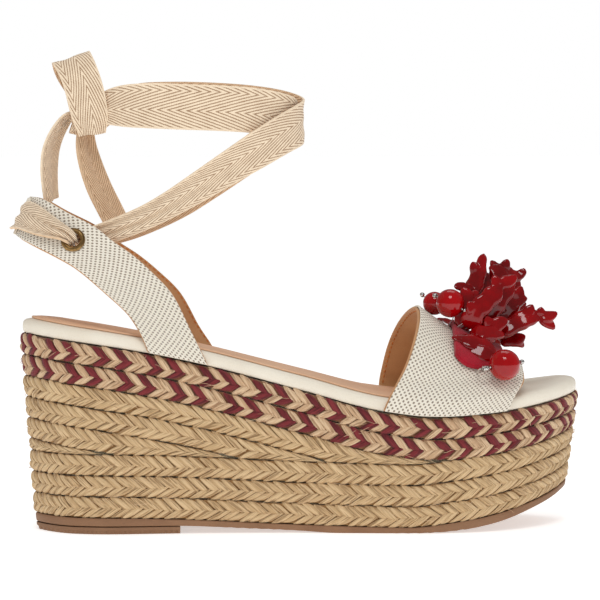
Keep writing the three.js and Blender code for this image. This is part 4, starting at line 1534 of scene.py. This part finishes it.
@dataclass
class Straps:
    """The forefoot band and the heel sling, each canvas over tan leather."""

    thickness: float = 1.05
    clearance: float = 0.7
    turn: float = 0.35

    def ground(self, points: np.ndarray) -> np.ndarray:
        """Say how high points stand over the braid's top edge."""
        return points[..., 2] - SOLE.top(points[..., 0]) - self.clearance

    def laid(self, rows: np.ndarray, away: np.ndarray, layer: Layer) -> bpy.types.Object:
        """Make one layer of a strap from its middle surface.

        Args:
            rows: the middle surface's grid.
            away: a point inside the shoe.
            layer: which layer.

        Returns:
            The layer, with thickness and softly turned edges.
        """
        offset, way = layer.value
        out = outward(rows, away)
        obj = Bench.grid(rows + out * offset)
        Bench.flip_to(obj, out.reshape(-1, 3).mean(axis=0))
        Bench.modify(obj, "SOLIDIFY", thickness=self.thickness * MM, offset=way, use_even_offset=False)
        Bench.modify(obj, "BEVEL", width=self.turn * MM, segments=2, limit_method="ANGLE",
                     angle_limit=math.radians(60))
        Bench.smooth(obj, 65)
        return obj

    def band_rows(self, lip: float = 0.0) -> np.ndarray:
        """Give the band's middle surface, cut off at the braid on both sides."""
        u, v = np.linspace(0, 1, 600), np.linspace(-lip, 1 + lip, 23)
        grid = BAND.at(u[:, None], v[None, :])
        over = self.ground(grid) > 0
        first = u[np.argmax(over, axis=0)]
        last = u[len(u) - 1 - np.argmax(over[::-1], axis=0)]
        share = np.linspace(0, 1, 81)[:, None]
        return BAND.at(first + (last - first) * share, v[None, :] * np.ones_like(share))

    def band(self) -> None:
        """Lay the band's canvas and its lining."""
        inside = np.array([68.0, 0.0, 60.0])
        rows = self.band_rows()
        canvas = self.laid(rows, inside, Layer.OUTER)
        Bench.finish(canvas, "band_canvas", Finish.CANVAS.material, "canvas", replaces=["band_outer"])
        leather = self.laid(self.band_rows(0.012), inside, Layer.LINING)
        Bench.finish(leather, "band_leather", Finish.TAN_LEATHER.material, "tan_leather",
                     replaces=["band_lining"])
        normals = outward(rows, inside)
        for name, first, second in (("back", 0, 1), ("front", -1, -2)):
            path, out = (rows[3:-3, first] + rows[3:-3, second]) / 2, normals[3:-3, second]
            Stitches().sew(f"band_{name}_stitches", path - out * 1.28, -out, Finish.THREAD_BROWN)

    def sling_rows(self, side: Side, lip: float = 0.0) -> np.ndarray:
        """Give one side of the sling's middle surface, cut off at the braid and at the heel seam."""
        f, w = np.linspace(0, 1, 600), np.linspace(-lip, 1 + lip, 21)
        over = self.ground(SLING.at(side, f[:, None], w[None, :])) > 0
        first = f[np.argmax(over, axis=0)]
        share = np.linspace(0, 1, 71)[:, None]
        return SLING.at(side, first + (1 - first) * share, w[None, :] * np.ones_like(share))

    def sling(self, side: Side) -> None:
        """Lay one side of the heel sling and punch its eyelet hole.

        Args:
            side: the side of the foot.
        """
        inside = np.array([-80.0, 0.0, 100.0])
        rows = self.sling_rows(side)
        at, _, _, out = SLING.axes(side, SLING.eyelet)
        word = side.word
        for layer, name, finish, slot, node, lip in (
                (Layer.OUTER, f"sling_canvas_{word}", Finish.CANVAS, "canvas", f"quarter_{word}", 0.0),
                (Layer.LINING, f"sling_leather_{word}", Finish.TAN_LEATHER, "tan_leather",
                 f"quarter_lining_{word}", 0.012)):
            obj = self.laid(self.sling_rows(side, lip) if lip else rows, inside, layer)
            Bench.clear()
            bpy.ops.mesh.primitive_cylinder_add(vertices=28, radius=3.2 * MM, depth=12 * MM,
                                                location=row_frame(at))
            punch = bpy.context.object
            punch.rotation_euler = Vector(out).to_track_quat("Z", "Y").to_euler()
            Bench.modify(obj, "BOOLEAN", operation="DIFFERENCE", object=punch, solver="EXACT")
            Bench.pick(punch)
            bpy.ops.object.delete()
            Bench.smooth(obj, 50)
            Bench.finish(obj, name, finish.material, slot, replaces=[node])
        normals = outward(rows, inside)
        for name, first, second in (("low", 0, 1), ("high", -1, -2)):
            path, normal = (rows[4:-2, first] + rows[4:-2, second]) / 2, normals[4:-2, second]
            Stitches().sew(f"sling_{name}_stitches_{word}", path - normal * 1.28, -normal,
                           Finish.THREAD_BROWN)

    def heel_seam(self) -> None:
        """Cover the seam at the back of the heel with a narrow leather strip."""
        w = np.linspace(0.02, 0.98, 15)
        rows = []
        for side, f in ((Side.LATERAL, 0.965), (Side.LATERAL, 0.985), (Side.LATERAL, 1.0),
                        (Side.MEDIAL, 0.985), (Side.MEDIAL, 0.965)):
            grid = SLING.at(side, f, w)
            out = unit(np.stack([grid[:, 0] + 95, grid[:, 1], 0 * w], axis=1))
            rows.append(grid + out * 1.35)
        obj = Bench.grid(np.array(rows))
        Bench.flip_to(obj, np.array([-1.0, 0, 0]))
        Bench.modify(obj, "SOLIDIFY", thickness=0.7 * MM, offset=1)
        Bench.modify(obj, "SUBSURF", levels=2, render_levels=2)
        Bench.smooth(obj, 60)
        Bench.finish(obj, "heel_seam_strip", Finish.CREAM_LEATHER.material, "cream_leather")

    def build(self) -> None:
        """Lay every strap."""
        self.band()
        for side in Side:
            self.sling(side)
        self.heel_seam()


@dataclass
class Eyelet:
    """A turned brass eyelet and the washer it is closed on."""

    side: Side
    barrel: float = 3.0
    rim: float = 5.3
    facets: int = 40

    def build(self) -> None:
        """Turn the eyelet and its washer."""
        b, r = self.barrel, self.rim
        front = [[b, -1.9], [b, 1.5], [b + 0.15, 2.1], [b + 0.7, 2.5], [r - 0.9, 2.4], [r - 0.1, 1.9],
                 [r, 1.45],
                 [r - 0.3, 1.3], [b + 0.5, 1.35], [b + 0.42, 1.0], [b + 0.42, -1.9]]
        back = [[b + 0.5, -1.3], [b + 0.5, -2.2], [r - 0.8, -2.15], [r - 0.1, -1.7], [r - 0.1, -1.35]]
        for name, node, profile in (("eyelet_ring", "eyelet", front), ("eyelet_back", "eyelet_washer", back)):
            at, _, _, out = SLING.axes(self.side, SLING.eyelet)
            obj = Bench.turn(profile, at, out, self.facets)
            Bench.finish(obj, f"{name}_{self.side.word}", Finish.BRASS.material, "antique_brass",
                         replaces=[f"{node}_{self.side.word}"])


# ---------------------------------------------------------------- tape


@dataclass
class Ribbon:
    """A length of the herringbone tape, laid along a line with its own width at each point."""

    name: str
    rows: np.ndarray
    pleats: float = 2.5
    inside_out: bool = False
    real_width: float = 20.0
    thickness: float = 0.9
    across: int = 13
    step: float = 1.6

    def build(self, ways: Callable[[np.ndarray, np.ndarray], np.ndarray],
              start: float = 0.0) -> bpy.types.Object:
        """Lay the ribbon.

        Args:
            ways: gives each station's width direction from the points and headings.
            start: the length of tape before its first point, for the pattern.

        Returns:
            The ribbon with thickness, its back face as material 1, a darker copy of the tape that is painted
            shade.
        """
        line = Line3(self.rows[:, :3])
        count = max(12, int(line.length / self.step))
        s = np.linspace(0, 1, count)
        at, heading = line.at(s), line.heading(s)
        knots = self.shares(line)
        width = np.interp(s, knots, self.rows[:, 3])
        width = np.convolve(np.pad(width, 2, mode="edge"), np.ones(5) / 5, "valid")
        across = unit(ways(at, heading))
        out = unit(np.cross(across, heading))
        share = np.linspace(-0.5, 0.5, self.across)
        gather = np.clip(1 - width / self.real_width, 0, 1)
        ripple = np.cos(2 * np.pi * self.pleats * (share + 0.5))[None, :] * (gather * 1.5)[:, None]
        lazy = 0.18 * np.sin(0.11 * line.length * s[:, None] + 5 * share[None, :])
        points = (at[:, None] + across[:, None] * (share[None, :] * width[:, None])[..., None]
                  + out[:, None] * (ripple + lazy)[..., None])
        u = np.repeat((start + s * line.length)[:, None], self.across, 1) * MM
        v = np.repeat(share[None, :] * self.real_width * MM, count, 0)
        obj = Bench.grid(points, np.stack([u, v], axis=-1))
        for finish in self.finishes:
            obj.data.materials.append(finish)
        Bench.modify(obj, "SOLIDIFY", thickness=self.thickness * MM, offset=0, material_offset=1,
                     use_even_offset=False)
        Bench.smooth(obj, 60)
        return obj

    @property
    def finishes(self) -> list[bpy.types.Material]:
        """List the tape's two faces, the one along the solid's normals first; the second is the darker copy,
        painted shade.
        """
        faces = [Finish.TAPE.material, Finish.TAPE_BACK.material]
        return faces[::-1] if self.inside_out else faces

    def shares(self, line: Line3) -> np.ndarray:
        """Give each row's share of the line's length."""
        marks = [int(np.argmin(np.linalg.norm(line.points - p, axis=1))) for p in self.rows[:, :3]]
        return line.reach[marks] / line.length


@dataclass
class AnkleTie:
    """The tape that is wrapped round the ankle and tied in a bow above the heel."""

    lateral: Rows = ((-99.4, -20.4, 126.4, 3.6), (-94, -20.2, 127.4, 7), (-87, -21, 129, 9),
                     (-78, -22, 132.2, 9.5),
                     (-68, -23, 136.6, 10), (-58, -23.9, 142, 11), (-47, -24.8, 148.7, 12.5),
                     (-35, -24.6, 156.2, 14),
                     (-21.4, -21.8, 164.4, 16), (-9.4, -16.2, 171.2, 17), (-1.5, -8.7, 175.2, 18),
                     (1.2, 0, 177.4, 18),
                     (-1.5, 8.7, 179.4, 18.5), (-9.4, 16.2, 181.6, 19), (-21.4, 21.8, 183.2, 19.5),
                     (-36, 24.7, 184.2, 19.5), (-52, 24.7, 184.6, 19.5), (-66.5, 21.8, 184.4, 19),
                     (-77, 15.6, 183.4, 16), (-82.6, 9.4, 182, 12), (-86.5, 4.4, 180.4, 8))
    medial: Rows = ((-95.6, 19, 125.6, 3.6), (-90, 18.8, 126, 7), (-83, 19.4, 127, 9),
                    (-74, 20.4, 129.2, 9.5),
                    (-62, 21.6, 134, 10), (-50, 22.2, 140.8, 12), (-36.8, 21.9, 150, 13.5),
                    (-23.2, 19.2, 160, 15),
                    (-11.8, 14.2, 168, 16.5), (-4.4, 7.6, 172.6, 17.5), (-1.7, 0, 175.6, 18),
                    (-4.4, -7.6, 178, 18.5),
                    (-11.8, -14.2, 180, 19), (-23.2, -19.2, 181.6, 19.5), (-37.2, -21.9, 182.5, 19.5),
                    (-51.6, -22.2, 183, 19.5), (-66, -19.9, 183.5, 19.5), (-76.6, -14.6, 183.5, 18.5),
                    (-83.2, -9, 183, 16), (-88.6, -4.4, 181.8, 12))
    loop: Rows = ((-91.2, -7.4, 171.2, 11), (-91.7, -8.8, 176, 15), (-93.2, -9.2, 184, 16.5),
                  (-95, -8.8, 192, 16.5),
                  (-97.4, -7.4, 199, 16.5), (-99.4, -3.8, 203.4, 17), (-99.8, 1.4, 204, 17),
                  (-98.8, 5.6, 199.5, 16),
                  (-96, 6, 192, 13), (-93.4, 2.4, 183.4, 8))
    back_tail: Rows = ((-96.4, 0, 180.5, 9), (-101, -0.5, 178.5, 12), (-105.6, -0.9, 172.5, 15),
                       (-108.6, -1, 165, 16.5), (-109.4, -1, 157, 16.5), (-109, -0.4, 149.4, 14.5),
                       (-108.2, 0.6, 142.6, 12.5))
    front_tail: Rows = ((-93.4, 0, 174, 10), (-93.6, 0, 170.6, 12), (-93.2, -0.6, 165, 14),
                        (-91.2, -1.4, 157, 16),
                        (-87.8, -2.2, 148, 17), (-83.8, -3, 140, 17), (-80.4, -3.6, 133.4, 17))
    ankle: tuple[float, float] = (-44.0, 0.0)
    knot_half: tuple[float, float, float] = (7.2, 5.6, 7.0)

    def round_ankle(self, at: np.ndarray, heading: np.ndarray) -> np.ndarray:
        """Give the width directions of a tape that lies against the ankle."""
        out = unit(np.stack([(at[:, 0] - self.ankle[0]) / 3.2, at[:, 1], 0 * at[:, 0]], axis=1))
        return np.cross(out, heading)

    @staticmethod
    def fixed(way: Sequence[float]) -> Callable[[np.ndarray, np.ndarray], np.ndarray]:
        """Give a rule that keeps the width square to the line and near one direction."""
        def rule(at: np.ndarray, heading: np.ndarray) -> np.ndarray:
            """Give the width directions."""
            w = np.array(way, float)
            return w - heading * (heading @ w)[:, None]
        return rule

    def runs(self) -> None:
        """Lay the two runs from the eyelets round the ankle to the knot."""
        for side, rows in ((Side.LATERAL, self.lateral), (Side.MEDIAL, self.medial)):
            ribbon = Ribbon(f"tape_run_{side.word}", np.array(rows, float))
            obj = ribbon.build(self.round_ankle, start=30)
            Bench.finish(obj, ribbon.name, ribbon.finishes, "tape", "ankle_tie", [f"tape_{side.word}_run"])

    def bow(self) -> None:
        """Fold the bow's loop and hang its two tails."""
        loop = Ribbon("bow_loop", np.array(self.loop, float), pleats=1.5, inside_out=True)
        obj = loop.build(self.fixed((0.94, 0, 0.34)))
        Bench.finish(obj, loop.name, loop.finishes, "tape", "ankle_tie", ["tape_bow_loop"])
        for end, rows, way in (("back", self.back_tail, (0.42, 0.9, 0)),
                               ("front", self.front_tail, (0.58, 0.78, 0.2))):
            tail = Ribbon(f"tail_{end}", np.array(rows, float), 1.5, inside_out=end == "front")
            obj = tail.build(self.fixed(way))
            Bench.finish(obj, f"tail_{end}_tape", tail.finishes, "tape", None, [f"tape_tail_{end}"])
            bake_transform(obj)

    def knot(self) -> None:
        """Tie the knot: a packed core with the tape wrapped twice round it, at two slants."""
        a, b, c = self.knot_half
        turns = np.linspace(0, 2 * math.pi, 37)[:, None]
        share = np.linspace(-1, 1, 13)[None, :]
        wraps = []
        for lean, swell, shift in ((0.30, 1.0, 0.6), (-0.55, 0.9, -1.4)):
            radius = swell * (1 - 0.34 * np.abs(share) ** 2.4) * (1 + 0.04 * np.cos(share * 9 + 2 * turns))
            across = share * a * 0.86 + lean * c * np.sin(turns)
            y = b * radius * np.cos(turns)
            z = c * radius * np.sin(turns) * (1 - 0.1 * share) + shift
            strip = KNOT_CENTRE + np.stack([across + 0 * turns, y, z + 0.25 * across], axis=-1)
            u = turns * c * MM + 0 * share
            v = share * 0.5 * 0.020 + 0 * turns
            wrap = Bench.grid(strip, np.stack([u, v], axis=-1))
            Bench.weld(wrap)
            Bench.flip_outward(wrap)
            Bench.modify(wrap, "SOLIDIFY", thickness=0.9 * MM, offset=-1, use_even_offset=False)
            wraps.append(wrap)
        Bench.clear()
        bpy.ops.mesh.primitive_ico_sphere_add(subdivisions=3, radius=1, location=row_frame(KNOT_CENTRE))
        core = bpy.context.object
        Bench.edit(core, lambda: bpy.ops.transform.resize(value=(0.86 * a * MM, 0.8 * b * MM, 0.8 * c * MM)))
        Bench.pick(core)
        bpy.ops.object.transform_apply(location=True, rotation=True, scale=True)
        obj = Bench.join([*wraps, core])
        Bench.smooth(obj, 60)
        Bench.finish(obj, "tie_knot", Finish.TAPE.material, "tape", "ankle_tie", ["tape_knot"])

    def heel_wrap(self) -> None:
        """Pass the tape from eyelet to eyelet round the back of the heel."""
        rows, outs = [], []
        for side, order in ((Side.LATERAL, 1), (Side.MEDIAL, -1)):
            part, way = [], []
            at, along, up, out = SLING.axes(side, SLING.eyelet)
            for ahead, off, width in ((0.0, -2.4, 3.8), (0.3, 1.2, 3.9), (1.6, 3.6, 4.6), (4.2, 4.4, 6.8)):
                part.append([*(at + along * ahead + out * off), width])
                way.append(up)
            for f, off, width in ((0.75, 3.9, 9.0), (0.80, 3.3, 11), (0.86, 2.9, 12.5), (0.93, 2.7, 13)):
                at, along, up, out = SLING.axes(side, f)
                part.append([*(at + out * off), width])
                way.append(up)
            rows.append(part[::order])
            outs.append(way[::order])
        at = SLING.at(Side.LATERAL, 1.0, 0.5) + (-2.7, 0.2, 0)
        middle = [[at[0], 0.0, at[2], 13]]
        table = np.array([*rows[0], *middle, *rows[1]], float)
        ways = np.array([*outs[0], unit(outs[0][-1] + outs[1][0]), *outs[1]])
        ribbon = Ribbon("tape_heel_pass", table, inside_out=True)
        line = Line3(table[:, :3])
        knots = ribbon.shares(line)

        def rule(points: np.ndarray, heading: np.ndarray) -> np.ndarray:
            """Give the width directions from the sling's own slope."""
            s = np.linspace(0, 1, len(points))
            w = np.stack([np.interp(s, knots, ways[:, k]) for k in range(3)], axis=1)
            return w - heading * np.sum(heading * w, axis=1, keepdims=True)

        obj = ribbon.build(rule)
        Bench.finish(obj, ribbon.name, ribbon.finishes, "tape", "shoe", ["tape_heel_wrap"])

    def build(self) -> None:
        """Lay and tie all the tape."""
        self.knot()
        self.runs()
        self.bow()
        self.heel_wrap()


# ---------------------------------------------------------------- ornament


@dataclass(frozen=True)
class CoralSprig:
    """One flat cast sprig: the way its faces look and its branches of [x, y, z, radius]."""

    facing: tuple[float, float, float]
    branches: tuple[Rows, ...]


@dataclass
class Ornament:
    """The cluster of coral sprigs, beads and head pins on a felt pad."""

    width_swell: float = 1.28
    flatness: float = 0.72
    dish: float = 0.3
    voxel: float = 0.45
    sprigs: tuple[CoralSprig, ...] = (
        CoralSprig((-0.1, -0.95, 0.25), (
            ((72.5, -13, 86.5, 4), (75.3, -15, 93.5, 3.6), (83.5, -14.5, 102, 3.4), (86, -13.5, 106.5, 2.6)),
            ((75.3, -15, 93.5, 3), (71.4, -16, 98.5, 1.4)), ((85, -14, 105, 2.2), (83.6, -13, 110.2, 1.2)),
            ((86, -13.5, 106.5, 2.4), (90, -13, 107, 2.2), (94.3, -12, 109.6, 1.3)))),
        CoralSprig((-0.5, -0.8, 0.3), (
            ((76, 0, 90, 3.6), (75, -2, 98, 3.4), (78.5, -1, 108, 3.2), (81.6, 0, 119, 1.3)),
            ((78.5, -1, 108, 2.4), (76.4, 0, 115.5, 1.4)),
            ((75, -2, 100, 3), (71.5, -3, 104.2, 2), (67.2, -5, 104.2, 1.2)))),
        CoralSprig((0.2, -0.7, 0.65), (
            ((86, 3, 90, 3.6), (94.6, 3, 101, 3.2), (93, 4, 109, 3.4), (87.5, 4, 112.5, 2.2),
            (84.8, 3, 115.6, 1.3)),
            ((91, 4, 111.5, 2.4), (93.2, 4, 116.3, 1.3)), ((94, 4, 108.5, 2.6), (98.5, 5, 109, 2),
            (101.2, 5, 112, 1.3)))),
        CoralSprig((0.5, -0.5, 0.7), (
            ((87, 8.6, 86.5, 3.2), (93.5, 9, 94, 3), (97, 9.6, 100, 2), (97.4, 9.6, 103.4, 1.3)),
            ((93.5, 9, 94, 2.6), (99, 9.4, 94.6, 2.2), (102.3, 9.6, 97.2, 1.3)))),
        CoralSprig((0, -0.85, 0.5), (
            ((83, -10, 84.2, 3.4), (91, -11, 87, 3.2), (98, -11.5, 90.5, 3.4), (104.6, -11, 91.4, 2.9)),
            ((98, -11.5, 91.5, 2.6), (101.6, -11, 97, 1.2)), ((104.6, -11, 91.4, 2.4), (105.2, -11, 96, 1.2)),
            ((104.6, -11, 91.4, 2.4), (108.5, -11, 91.5, 2), (112.7, -11, 93.3, 1.2)),
            ((104.6, -11, 91, 2.4), (109, -11, 88, 1.8), (111.5, -11, 85.6, 1.2)))),
        CoralSprig((-0.25, -0.65, 0.7), (
            ((79, -17, 83, 3), (72.5, -22.5, 82.4, 2.6), (67, -25, 82.8, 2), (62.6, -26, 83.4, 1.2)),
            ((72.5, -22.5, 82.4, 2.2), (70, -27, 79.6, 1.2)))),
        CoralSprig((0.3, -0.8, 0.5), (
            ((88, -3.4, 81.4, 2.8), (95, -4.4, 81, 2.8), (99.6, -5, 83, 1.3)),
            ((95, -4.4, 81, 2.4), (99, -5, 77.6, 1.4)))),
        CoralSprig((0.3, -0.3, 0.9), (((81, -3, 86, 2.6), (83.3, -8, 92.6, 2.6)),)),
        CoralSprig((0, 0.85, 0.5), (
            ((80, 10.5, 84, 3.4), (84, 15, 92, 3.2), (80, 17, 100, 1.4)),
            ((84, 15, 92, 2.8), (90, 17, 96, 2), (93, 18, 101, 1.3)))),
        CoralSprig((-0.2, 0.7, 0.7), (((74, 8, 87, 3), (69, 16, 87.4, 2.4), (63.6, 21, 88.6, 1.3)),)))
    fillers: tuple[CoralSprig, ...] = (
        CoralSprig((-0.2, -0.9, 0.3), (
            ((74, -9, 86, 3.6), (70.6, -10, 91, 3.3), (72.8, -9.5, 98, 3), (70.6, -9, 104.6, 1.6)),
            ((72.2, -9.5, 97, 2.6), (77.6, -9, 103, 1.6)), ((71, -10, 91, 2.6), (68.2, -10.5, 86, 1.6)))),
        CoralSprig((0.1, -0.9, 0.4), (
            ((79, -14, 83, 3.4), (84, -16, 88, 3), (89.6, -15.5, 90.8, 1.6)),
            ((82, -15.5, 86, 2.6), (79.6, -17, 92.4, 1.5)))),
        CoralSprig((0.3, -0.8, 0.5), (
            ((86, -3, 87, 3.6), (92, -4, 94.5, 3.3), (95.6, -4, 100, 2.6), (97.8, -4, 104.8, 1.4)),
            ((94, -4, 97, 2.4), (100.4, -4.5, 99.6, 1.4)), ((91, -4, 93.5, 2.6), (88.6, -5, 99.6, 1.6)))),
        CoralSprig((0.2, -0.9, 0.3), (
            ((80, -6, 88, 3.6), (86, -7, 97, 3.4), (91, -6, 104, 3), (92.4, -5, 110, 1.5)),
            ((88, -6.5, 100, 2.6), (84.6, -6, 106, 1.5)))),
        CoralSprig((-0.1, -0.8, 0.6), (
            ((72.5, -15, 83.6, 3.2), (77, -18.5, 84.6, 3.2), (82.6, -18, 84.8, 2.8), (88, -17, 83.6, 1.5)),
            ((79, -18.5, 84.6, 2.6), (82.4, -20.5, 80.6, 1.5)))),
        CoralSprig((-0.1, -0.8, 0.6), (
            ((66.5, -26, 82.4, 2.2), (72, -26.5, 81, 3), (78, -26.5, 79, 2.8), (83, -25.5, 76.4, 1.6)),
            ((75, -26.8, 80, 2.4), (78.5, -28, 75.8, 1.3)), ((70, -26.5, 81.4, 2.2),
            (68.5, -28.5, 78.2, 1.2)))),
        CoralSprig((0.1, -0.8, 0.5), (
            ((88, 0, 96, 3.6), (90, 1, 104, 3.8), (88, 2, 110, 3.4), (84, 2, 113, 2.2)),
            ((90, 1, 104, 3), (95.5, 1, 106, 1.6)), ((84, 0, 97, 3.4), (82, 1, 105, 3),
            (80.8, 2, 112, 1.8)))),
        CoralSprig((-0.1, -0.85, 0.5), (
            ((70, -27, 79, 2.4), (75.5, -29, 77, 2.9), (81, -29.6, 74.2, 2.4), (84, -29.4, 72.8, 1.4)),
            ((75.5, -29, 77, 2.4), (74.4, -31, 73, 1.4)))))
    beads: Rows = ((64.8, -10.5, 97.5, 6.3, -0.78, 0.48, 0.41), (83.6, -39.8, 72.4, 6.8, 0.96, 0.25, 0.13),
                   (60, 2.4, 96.8, 5.2, -0.77, 0.33, 0.55), (92, 17, 83, 6, 0.55, 0.8, 0.1))
    bore: float = 0.75
    wire: float = 0.42

    def branch(self, rows: Rows, facing: np.ndarray) -> bpy.types.Object:
        """Model one branch as a flat bar with raised rims and a rounded tip.

        Args:
            rows: its line and radii.
            facing: the way its flat face looks.

        Returns:
            The bar.
        """
        table = np.array(rows, float)
        line = Line3(table[:, :3])
        marks = [int(np.argmin(np.linalg.norm(line.points - p, axis=1))) for p in table[:, :3]]
        s = spread(max(14, int(line.length / 0.7)))
        radius = np.interp(s, line.reach[marks] / line.length, table[:, 3])
        radius = radius * (1 + 0.07 * np.sin(s * line.length * 0.9 + table[0, 0]))
        foot = np.clip(s * line.length / (radius * 0.9), 0, 1)
        tip = np.clip((1 - s) * line.length / (radius * 1.7), 0, 1)
        radius = radius * np.sqrt(1 - (1 - foot) ** 2) * (1 - (1 - tip) ** 2) ** 0.75
        at, way = line.at(s), line.heading(s)
        side = unit(np.cross(way, facing))
        face = np.cross(side, way)
        angle = np.linspace(0, 2 * math.pi, 21)
        w = np.sign(np.cos(angle)) * np.abs(np.cos(angle)) ** 0.8
        h = np.sign(np.sin(angle)) * np.abs(np.sin(angle)) ** 0.7 * (1 - self.dish * (1 - w * w))
        points = (at[:, None] + (radius[:, None] * w * self.width_swell)[..., None] * side[:, None]
                  + (radius[:, None] * h * self.flatness)[..., None] * face[:, None])
        obj = Bench.grid(points)
        Bench.weld(obj)
        return obj

    def coral(self, number: int, sprig: CoralSprig) -> None:
        """Cast one sprig from its branches.

        Args:
            number: its number.
            sprig: its form.
        """
        facing = unit(np.array(sprig.facing))
        obj = Bench.join([self.branch(rows, facing) for rows in sprig.branches])
        Bench.modify(obj, "REMESH", mode="VOXEL", voxel_size=self.voxel * MM, adaptivity=0)
        Bench.modify(obj, "SMOOTH", factor=0.5, iterations=5)
        Bench.smooth(obj)
        stands_for = [f"coral_{number}"] if number <= len(self.sprigs) else []
        Bench.finish(obj, f"coral_sprig_{number}", Finish.CORAL.material, "coral_red", replaces=stands_for)

    def bead(self, number: int, row: Sequence[float]) -> None:
        """Turn a bored bead and thread it on its ball-ended head pin.

        Args:
            number: its number.
            row: its place, radius and pin axis.
        """
        at, radius, axis = np.array(row[:3], float), float(row[3]), unit(np.array(row[4:], float))
        lip = math.asin((self.bore + 0.25) / radius)
        arc = [[radius * math.sin(a), radius * math.cos(a)] for a in np.linspace(lip, math.pi - lip, 19)]
        deep = radius * math.cos(lip) - 0.3
        ball = Bench.turn([*arc, [self.bore, -deep], [self.bore, deep]], at, axis, 36)
        Bench.finish(ball, f"red_bead_{number}", Finish.BEAD.material, "bead_red", f"bead_{number}_spin_body",
                     [f"bead_{number}"])
        top, foot = at + axis * (radius + 1.5), at - axis * (radius + 1.2)
        felt = self.felt().reshape(-1, 3)
        base = felt[np.argmin(np.linalg.norm(felt - foot, axis=1))]
        parts = [Bench.tube([at + axis * (radius + 1.2), at, at - axis * (radius + 0.8)], self.wire)]
        for centre, size in ((top, 1.15), (foot, 0.85)):
            half = [[size * math.sin(a), size * math.cos(a)] for a in np.linspace(0, math.pi, 13)]
            parts.append(Bench.turn(half, centre, axis, 18))
        cross = unit(np.cross(axis, [0.2, 0.3, 0.9]))
        turns = np.linspace(0, 3 * 2 * math.pi, 40)
        coil = [foot - axis * (0.3 + t * 0.11)
                + 0.85 * (cross * math.cos(t) + np.cross(axis, cross) * math.sin(t))
                for t in turns]
        parts.append(Bench.tube(coil, 0.3, 8, 0.5))
        parts.append(Bench.tube([coil[-1], coil[-1] - axis * 1.5, base], 0.34, 8, 1.2))
        obj = Bench.join(parts)
        Bench.smooth(obj, 60)
        Bench.finish(obj, f"head_pin_{number}", Finish.SILVER.material, "silver_wire",
                     replaces=[f"headpin_{number}"])

    @property
    def inside(self) -> np.ndarray:
        """Give a point under the band."""
        return np.array([68.0, 0.0, 50.0])

    def felt(self) -> np.ndarray:
        """Give the pad's place on the band: a grid with its corners rounded off."""
        a = np.linspace(-1, 1, 41)[:, None]
        b = np.linspace(-1, 1, 31)[None, :]
        u = 0.418 + 0.222 * a * np.sqrt(1 - 0.35 * b * b)
        v = 0.55 + 0.25 * b * np.sqrt(1 - 0.35 * a * a)
        return BAND.at(u, v)

    def pad(self) -> None:
        """Cut the felt pad that the cluster is sewn to."""
        rows = self.felt()
        out = outward(rows, self.inside)
        obj = Bench.grid(rows + out * 2.05)
        Bench.flip_to(obj, out.reshape(-1, 3).mean(axis=0))
        Bench.modify(obj, "SOLIDIFY", thickness=2.2 * MM, offset=1, use_even_offset=False)
        Bench.modify(obj, "BEVEL", width=0.8 * MM, segments=3, limit_method="ANGLE",
                     angle_limit=math.radians(50))
        Bench.smooth(obj, 60)
        Bench.finish(obj, "felt_pad", Finish.FELT.material, "felt", replaces=["ornament_pad"])

    def build(self) -> None:
        """Build the cluster."""
        self.pad()
        for number, sprig in enumerate((*self.sprigs, *self.fillers), start=1):
            self.coral(number, sprig)
        for number, row in enumerate(self.beads, start=1):
            self.bead(number, row)


# ---------------------------------------------------------------- assembly


def main() -> None:
    """Build the sandal, sub-assembly by sub-assembly."""
    logging.basicConfig(level=logging.INFO, format="%(name)s: %(message)s")
    Studio().build()
    for part in (Sole(), BraidedWall(), Straps(), *(Eyelet(side) for side in Side), AnkleTie(), Ornament()):
        log.info("building %s", type(part).__name__)
        part.build()


if __name__ == "__main__":
    main()
